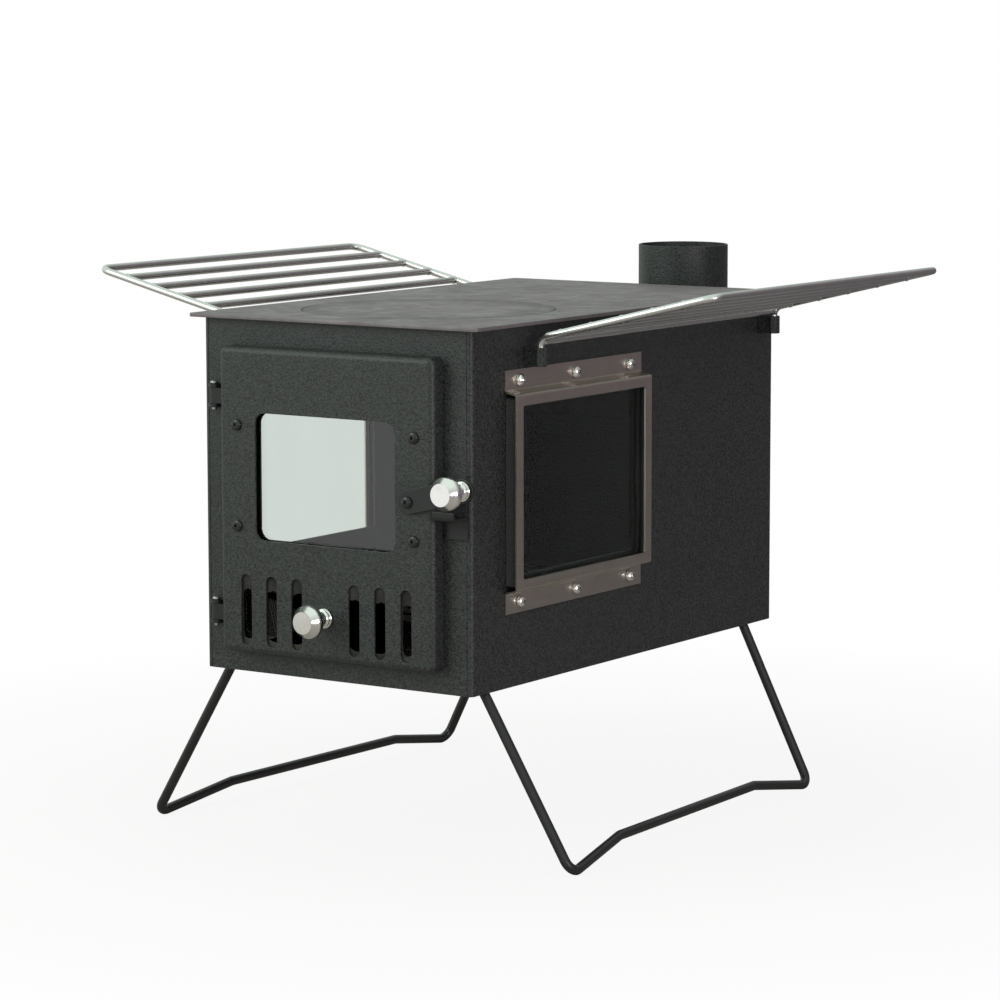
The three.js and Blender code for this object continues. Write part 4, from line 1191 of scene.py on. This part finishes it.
class STOVE_OT_windows(bpy.types.Operator):
    """Stood-off frames, glass and rope seals of the side windows"""

    bl_idname = "stove.windows"
    bl_label = "Side windows"

    def execute(self, context):
        flange, face = HALF_WIDTH + GAP + FRAME_SHEET / 2, HALF_WIDTH + 12 - FRAME_SHEET / 2
        hat = folded([(flange, -96), (flange, -79.3), (face, -77), (face, 77), (flange, 79.3), (flange, 96)],
                     FRAME_SHEET, FRAME_SHEET * 1.5, 6)
        for name, sign in SIDES.items():
            place = facing_side(sign, WINDOW_Y, WINDOW_Z)
            solid = prism(hat, -100, 100, lambda u, v, depth: at(sign * u, WINDOW_Y + depth, WINDOW_Z + v))
            cutters = [prism(rounded(*WINDOW, 0, 0, 5)(), HALF_WIDTH + 6, HALF_WIDTH + 30, place)]
            cutters += [prism(circle(2.7, along, rise, 24)(), HALF_WIDTH - 8, HALF_WIDTH + 8, place)
                        for along, rise in WINDOW_SCREWS]
            eased_piece(f"{name}_window_retainer", carve(solid, cutters), "window_frame", "stove_body",
                        f"{name}_window_frame", edge=0.00028)
            dressed(f"{name}_window_pane", f"{name}_window_glass", "side_glass", "stove_body", 0.0004)
            dressed(f"{name}_window_seal", f"{name}_window_gasket", "seal", "stove_body", 0.0004)
        return {"FINISHED"}


class STOVE_OT_window_screws(bpy.types.Operator):
    """Pan head screws along the top and bottom of each window frame"""

    bl_idname = "stove.window_screws"
    bl_label = "Window screws"

    def execute(self, context):
        fixings = context.scene.stove_fixings
        seat = HALF_WIDTH + GAP + FRAME_SHEET + GAP
        low = HALF_WIDTH - WALL - GAP - seat
        head = object_of("pan_head", screw_solid(5, 4.4, 2.4, low, 4, "cross"))
        tree = screw_grid()
        for name, sign in SIDES.items():
            out = Matrix(((0, 0, sign), (sign, 0, 0), (0, 1, 0))).to_4x4()
            grown(f"{name}_window_screws", tree, {
                "Screw": head, "Columns": 3, "Rows": 2, "Column pitch": WINDOW_PITCH * MM,
                "Row pitch": 2 * WINDOW_RISE * MM, "Turn": fixings.screw_turn, "Seed": fixings.turn_seed},
                "screw", Matrix.Translation(at(sign * seat, WINDOW_Y, WINDOW_Z)) @ out, "stove_body",
                *[f"{name}_window_screw_{i + 1}" for i in range(len(WINDOW_SCREWS))])
        drop(head)
        return {"FINISHED"}


class STOVE_OT_door(bpy.types.Operator):
    """Tray-shaped door with its air slots, glass, seal, clamp frame and screws"""

    bl_idname = "stove.door"
    bl_label = "Door"

    def execute(self, context):
        edges, fixings = context.scene.stove_edges, context.scene.stove_fixings
        edge, fold = edges.sheet_edge / MM, edges.door_fold / MM
        inner, depth, burr = fold - DOOR_SHEET, DOOR_BACK - DOOR_FACE, 0.3
        rim = [(fold * (1 - math.sin(t)), fold * (1 - math.cos(t))) for t in quarter(8)]
        rim += [(0, depth - burr), (burr, depth), (DOOR_SHEET - burr, depth), (DOOR_SHEET, depth - burr)]
        rim += [(fold - inner * math.cos(t), fold - inner * math.sin(t)) for t in quarter(5)]
        rim = [(inset, DOOR_FACE + run) for inset, run in rim]
        through = eased(DOOR_FACE, DOOR_FACE + DOOR_SHEET, edge)
        fine = eased(DOOR_FACE, DOOR_FACE + DOOR_SHEET, 0.15)
        sight = rounded(*SIGHT, 0, SIGHT_CENTRE, 8)
        out, up = DOOR_SCREW
        screws = [(out * x, SIGHT_CENTRE + up * z) for x in (-1, 1) for z in (-1, 1)]
        holes = [(sight, through)]
        holes += [(rounded(*AIR_SLOT, side * (28 + 25 * i), AIR_HEIGHT, 7), through)
                  for side in (-1, 1) for i in range(3)]
        holes += [(circle(SCREW_HOLE, x, z, 20), fine) for x, z in screws + [LATCH_PIVOT]]
        holes.append((rounded(*KNOB_SLOT, -6.25, AIR_HEIGHT, 5), fine))
        tray = cut_sheet(rounded(*DOOR, 0, DOOR_CENTRE, 8), rim, holes, facing_front)
        piece("door_tray", tray, "paint", "door", "door_panel")

        pane = rounded(*DOOR_PANE, 0, SIGHT_CENTRE, 6)
        piece("door_pane", cut_sheet(pane, eased(-242.9, -238.9, 0.5), [], facing_front),
              "door_glass", "door", "door_glass")
        dressed("door_seal", "door_glass_gasket", "seal", "door", 0.0005)
        sheet = eased(-238.6, -237.1, 0.3)
        holes = [(sight, sheet)] + [(circle(SCREW_HOLE, x, z, 20), sheet) for x, z in screws]
        clamp = cut_sheet(rounded(*CLAMP_FRAME, 0, SIGHT_CENTRE), sheet, holes, facing_front)
        piece("door_clamp_frame", clamp, "satin", "door", "door_glass_frame")

        head = object_of("button_head", button_head(-11.3))
        grown("door_screws", screw_grid(), {
            "Screw": head, "Columns": 2, "Rows": 2, "Column pitch": 2 * out * MM, "Row pitch": 2 * up * MM,
            "Turn": fixings.screw_turn, "Seed": fixings.turn_seed + 3}, "black_screw",
            Matrix.Translation(at(0, DOOR_FACE - GAP, SIGHT_CENTRE)) @ OUT_OF_DOOR, "door",
            *[f"door_screw_{i + 1}" for i in range(len(screws))])
        drop(head)
        return {"FINISHED"}


class STOVE_OT_hinges(bpy.types.Operator):
    """Hinge brackets, door knuckles and pins"""

    bl_idname = "stove.hinges"
    bl_label = "Hinges"

    def execute(self, context):
        x, y = HINGE_AXIS
        for name, height in (("upper", 223), ("lower", 48)):
            dressed(f"{name}_hinge_ears", f"{name}_hinge_bracket", "satin", "stove_body", 0.0003)
            dressed(f"{name}_hinge_knuckle", f"{name}_door_knuckle", "satin", "door", 0.0003)
            pin = [(0, -11.5), (1.7, -11.5), (2, -11.2), (2, 9.8), (3.1, 9.8), (3.4, 10.1), (3.4, 10.6),
                   (3.1, 11.2), (2.4, 11.75), (1.4, 12), (0, 12)]
            piece(f"{name}_hinge_bolt", lathe(pin, 28, lambda u, v, h, z=height: at(x + u, y + v, z + h)),
                  "pin", "stove_body", f"{name}_hinge_pin")
        return {"FINISHED"}


class STOVE_OT_air_control(bpy.types.Operator):
    """Sliding air shutter, its guide and its knob"""

    bl_idname = "stove.air_control"
    bl_label = "Air control"

    def execute(self, context):
        dressed("shutter_slide", "air_shutter", "soot", "air_control", 0.00025)
        dressed("shutter_guide_frame", "air_shutter_guide", "soot", "door", 0.00025)
        knob = knob_solid(3.8, out_of_door(0, DOOR_FACE - GAP, AIR_HEIGHT))
        piece("air_pull", knob, "knob", "air_control", "air_knob")
        return {"FINISHED"}


class STOVE_OT_latch(bpy.types.Operator):
    """Swinging latch lever with its knob, pivot screw and keeper"""

    bl_idname = "stove.latch"
    bl_label = "Latch"

    def execute(self, context):
        (pivot_x, pivot_z), reach, lift, sheet = LATCH_PIVOT, 53.4, math.radians(13.3), 3

        def place(u, v, depth):
            return at(pivot_x + u * math.cos(lift) - v * math.sin(lift), depth,
                      pivot_z + u * math.sin(lift) + v * math.cos(lift))

        rim = eased(LEVER_FACE, LEVER_FACE + sheet, 0.5)
        fine = eased(LEVER_FACE, LEVER_FACE + sheet, 0.2)
        holes = [(circle(SCREW_HOLE, 0, 0, 20), fine), (circle(2.8, reach, 0, 20), fine)]
        piece("latch_bar", cut_sheet(strap(reach, 9.5), rim, holes, place), "satin", "latch", "latch_lever")
        knob = knob_solid(sheet, out_of_door(pivot_x + reach * math.cos(lift), LEVER_FACE - GAP,
                                             pivot_z + reach * math.sin(lift)))
        piece("latch_pull", knob, "knob", "latch", "latch_knob")

        head = button_head(-5.9)
        seat = Matrix.Translation(at(pivot_x, LEVER_FACE - GAP, pivot_z)) @ OUT_OF_DOOR
        bmesh.ops.transform(head, matrix=seat, verts=head.verts)
        piece("latch_pivot", head, "black_screw", "door", "latch_pivot_screw")
        dressed("latch_catch", "latch_keeper", "satin", "stove_body", 0.0004)
        return {"FINISHED"}


class STOVE_OT_legs(bpy.types.Operator):
    """Folding rod legs and the lugs that they turn in"""

    bl_idname = "stove.legs"
    bl_label = "Folding legs"

    def execute(self, context):
        splay, strut, half, centre, toe = math.radians(28.9), 163, 201.25, -5.75, 7.7
        hinge_x, hinge_z, raised = 119.003, 7.4, strut - 13.8 / math.cos(splay)
        for name, sign in SIDES.items():

            def place(along, down):
                out = -toe * sign * along / half if down else 0
                return at(sign * (hinge_x + down * math.sin(splay) + out), centre + sign * along,
                          hinge_z - down * math.cos(splay))

            line = bent_path([
                (place(36 - half, 0), 0), (place(-half, 0), 10 * MM), (place(-half, strut), 10 * MM),
                (place(87.5 - half, raised), 18 * MM), (place(half - 87.5, raised), 18 * MM),
                (place(half, strut), 10 * MM), (place(half, 0), 10 * MM), (place(half - 36, 0), 0)])
            bm = bmesh.new()
            sweep(bm, line, 4 * MM, 24, eased_end=0.6 * MM)
            bmesh.ops.recalc_face_normals(bm, faces=bm.faces)
            piece(f"{name}_bent_leg", bm, "satin", f"{name}_leg_frame", f"{name}_leg")
            for end in ("front", "rear"):
                dressed(f"{name}_{end}_leg_clip", f"{name}_{end}_leg_lug", "paint", "stove_body", 0.0004)
        return {"FINISHED"}


class STOVE_OT_racks(bpy.types.Operator):
    """Lift-out wire racks and their sockets"""

    bl_idname = "stove.racks"
    bl_label = "Side racks"

    def execute(self, context):
        racks = context.scene.stove_racks
        half, centre, axis, reach = 183, 26.5, HALF_WIDTH + SOCKET_STAND, 156.6
        foot, bend, knee_radius, tip_radius, tilt = 255.8, 267.8, 9, 11, math.radians(13.57)
        knee = bend + knee_radius * math.tan((math.pi / 2 - tilt) / 2)
        tip = knee + reach * math.tan(tilt)
        corners = [((axis, -half, foot), 0), ((axis, -half, knee), knee_radius),
                   ((axis + reach, -half, tip), tip_radius), ((axis + reach, half, tip), tip_radius),
                   ((axis, half, knee), knee_radius), ((axis, half, foot), 0)]
        path = bent_path([(Vector(place) * MM, radius * MM) for place, radius in corners])
        curve = bpy.data.curves.new("outer_wire", "CURVE")
        curve.dimensions = "3D"
        spline = curve.splines.new("POLY")
        spline.points.add(len(path) - 1)
        for point, spot in zip(spline.points, path):
            point.co = (*spot, 1)
        wire = add_object("outer_wire", curve)
        tree = wire_rack()
        turn = math.pi / 6
        for name, sign in SIDES.items():
            spin = Matrix.Rotation(0 if sign > 0 else math.pi, 4, "Z")
            grown(f"{name}_wire_rack", tree, {
                "Outer wire": wire, "Bars": racks.bars, "Pitch": racks.pitch, "Tilt": tilt,
                "Span": 2 * half * MM,
                "Outer bar": ((axis + reach) * MM, 0, tip * MM),
                "Inner bar": ((axis + knee_radius * (1 - math.cos(turn))) * MM, 0,
                              (bend + knee_radius * math.sin(turn)) * MM),
                "Rod radius": racks.rod_radius, "Bead": racks.bead}, "wire",
                Matrix.Translation(at(0, centre, 0)) @ spin, f"{name}_rack_frame", f"{name}_rack")
            for end in ("front", "rear"):
                dressed(f"{name}_{end}_rack_cup", f"{name}_{end}_rack_socket", "paint", "stove_body", 0.0003)
        drop(wire)
        return {"FINISHED"}


def seen_rays(tree):
    """Rays that show the plain background, straight or through glass, and rays off a shiny surface."""
    rays = tree.nodes.new("ShaderNodeLightPath").outputs
    straight = sums(tree, "MAXIMUM", rays["Is Camera Ray"], rays["Is Transmission Ray"])
    first = sums(tree, "LESS_THAN", rays["Diffuse Depth"], 0.5)
    return sums(tree, "MULTIPLY", straight, first), rays["Is Glossy Ray"]


def studio_floor(stage):
    """Pale floor that is taken up to white for the camera and keeps the stove's shadow, with a painted shadow
    pool round the stove; for light and reflections it is painted darker at the back right and glows white far
    to the front left.
    """
    material, tree, base, place = blank_material("studio_floor")
    cloud = put(tree, "ShaderNodeTexNoise", {"Vector": place, "Scale": 3.0, "Detail": 2.0}).outputs["Fac"]
    pale = two_tone(tree, cloud, stage.floor_colour, 0.97, 1.0)
    toward = vectors(tree, "DOT_PRODUCT", place, KEY_SIDE)
    # Painted shade: the floor's colour falls to the dim colour towards the back right, away from the key
    # lamp.
    feed(tree, base, {"Roughness": 0.9, "Base Color": blend_colours(
        tree, ramp(tree, toward, -0.9, 0.0), shade(stage.dim_colour, 0.8), pale)})
    glow = put(tree, "ShaderNodeEmission", {"Color": (1, 1, 1, 1), "Strength": 1.0})
    # Painted shadow: near the stove the camera sees the floor only part way up to white, a grey pool that
    # fades out by 0.85 m, on top of the stove's real shadow.
    white = ramp(tree, vectors(tree, "LENGTH", place), 0.3, 0.85, stage.floor_white, 1.0)
    # Painted bright surround: in reflections the floor glows white beyond 1.45 m towards the front left.
    backdrop = ramp(tree, toward, 1.45, 1.9)
    seen, mirrored = seen_rays(tree)
    seen_white = sums(tree, "MULTIPLY", seen, white)
    share = sums(tree, "MAXIMUM", seen_white, sums(tree, "MULTIPLY", mirrored, backdrop))
    both = put(tree, "ShaderNodeMixShader", {0: share, 1: base.outputs[0], 2: glow.outputs[0]})
    feed(tree, tree.nodes["Material Output"], {"Surface": both.outputs[0]})
    return material


def studio_sky(stage):
    """Surrounding light, brighter at the front left, that the camera sees as white."""
    world = bpy.data.worlds.new("studio")
    world.use_nodes = True
    tree = world.node_tree
    tree.nodes.clear()
    toward = vectors(tree, "DOT_PRODUCT", tree.nodes.new("ShaderNodeTexCoord").outputs["Generated"], SKY_SIDE)
    studio = blend_colours(tree, ramp(tree, toward, -0.75, 0.2), stage.dim_colour, stage.sky_colour)
    seen = seen_rays(tree)[0]
    sky = put(tree, "ShaderNodeBackground", {
        "Color": blend_colours(tree, seen, studio, (1.0, 1.0, 1.0)), "Strength": 1.0})
    put(tree, "ShaderNodeOutputWorld", {"Surface": sky.outputs[0]})
    return world


class STOVE_OT_stage(bpy.types.Operator):
    """Pale floor, soft studio light and the camera"""

    bl_idname = "stove.stage"
    bl_label = "Stage"

    def execute(self, context):
        stage = context.scene.stove_stage
        bm = bmesh.new()
        bmesh.ops.create_grid(bm, x_segments=8, y_segments=8, size=6)
        floor = object_of("floor", bm)
        floor.data.materials.append(studio_floor(stage))
        context.scene.world = studio_sky(stage)

        aim = at(0, 0, 120)
        for name, spot, size, power, colour in (
                ("key_lamp", (-1.5, -2.4, 1.7), 1.5, stage.key_power, (0.9, 1.0, 0.93)),
                ("fill_lamp", (2.9, -1.2, 0.5), 0.8, stage.fill_power, (1.0, 0.86, 0.97))):
            light = bpy.data.lights.new(name, "AREA")
            light.size = size
            light.energy = power
            light.color = colour
            lamp = add_object(name, light)
            lamp.location = spot
            lamp.rotation_euler = (aim - Vector(spot)).to_track_quat("-Z", "Y").to_euler()

        round_by, down, roll = math.radians(33.8387), math.radians(7.3811), math.radians(-0.0778)
        right = Vector((math.cos(round_by), math.sin(round_by), 0))
        level = Vector((-right.y, right.x, 0))
        ahead = level * math.cos(down) - Vector((0, 0, math.sin(down)))
        above = right.cross(ahead)
        across = math.cos(roll) * right + math.sin(roll) * above
        upright = math.cos(roll) * above - math.sin(roll) * right
        camera = bpy.data.cameras.new("camera")
        camera.sensor_width = 36
        camera.lens = 136.83
        view = add_object("camera", camera)
        view.matrix_world = Matrix.Translation((1.7643, -2.6588, 0.668)) @ Matrix(
            (across, upright, -ahead)).transposed().to_4x4()
        context.scene.camera = view
        context.scene.view_settings.view_transform = "Standard"
        return {"FINISHED"}


STEPS = (
    STOVE_OT_stage, STOVE_OT_firebox, STOVE_OT_top, STOVE_OT_flue, STOVE_OT_inside, STOVE_OT_windows,
    STOVE_OT_window_screws, STOVE_OT_door, STOVE_OT_hinges, STOVE_OT_air_control, STOVE_OT_latch,
    STOVE_OT_legs, STOVE_OT_racks,
)


class STOVE_PT_panel(bpy.types.Panel):
    """Lists the settings and the steps of the stove"""

    bl_idname = "STOVE_PT_panel"
    bl_label = "Tent wood stove"
    bl_space_type = "VIEW_3D"
    bl_region_type = "UI"
    bl_category = "Stove"

    def draw(self, context):
        for group in GROUPS:
            box = self.layout.box()
            settings = getattr(context.scene, group)
            for key in type(settings).__annotations__:
                box.prop(settings, key)
        for step in STEPS:
            self.layout.operator(step.bl_idname)


def register():
    for group in GROUPS.values():
        bpy.utils.register_class(group)
    for key, group in GROUPS.items():
        setattr(bpy.types.Scene, key, bpy.props.PointerProperty(type=group))
    for step in STEPS:
        bpy.utils.register_class(step)
    bpy.utils.register_class(STOVE_PT_panel)


def unregister():
    bpy.utils.unregister_class(STOVE_PT_panel)
    for step in reversed(STEPS):
        bpy.utils.unregister_class(step)
    for key in reversed(GROUPS):
        delattr(bpy.types.Scene, key)
    for group in reversed(GROUPS.values()):
        bpy.utils.unregister_class(group)


def main():
    register()
    for step in STEPS:
        category, name = step.bl_idname.split(".")
        getattr(getattr(bpy.ops, category), name)()


if __name__ == "__main__":
    main()
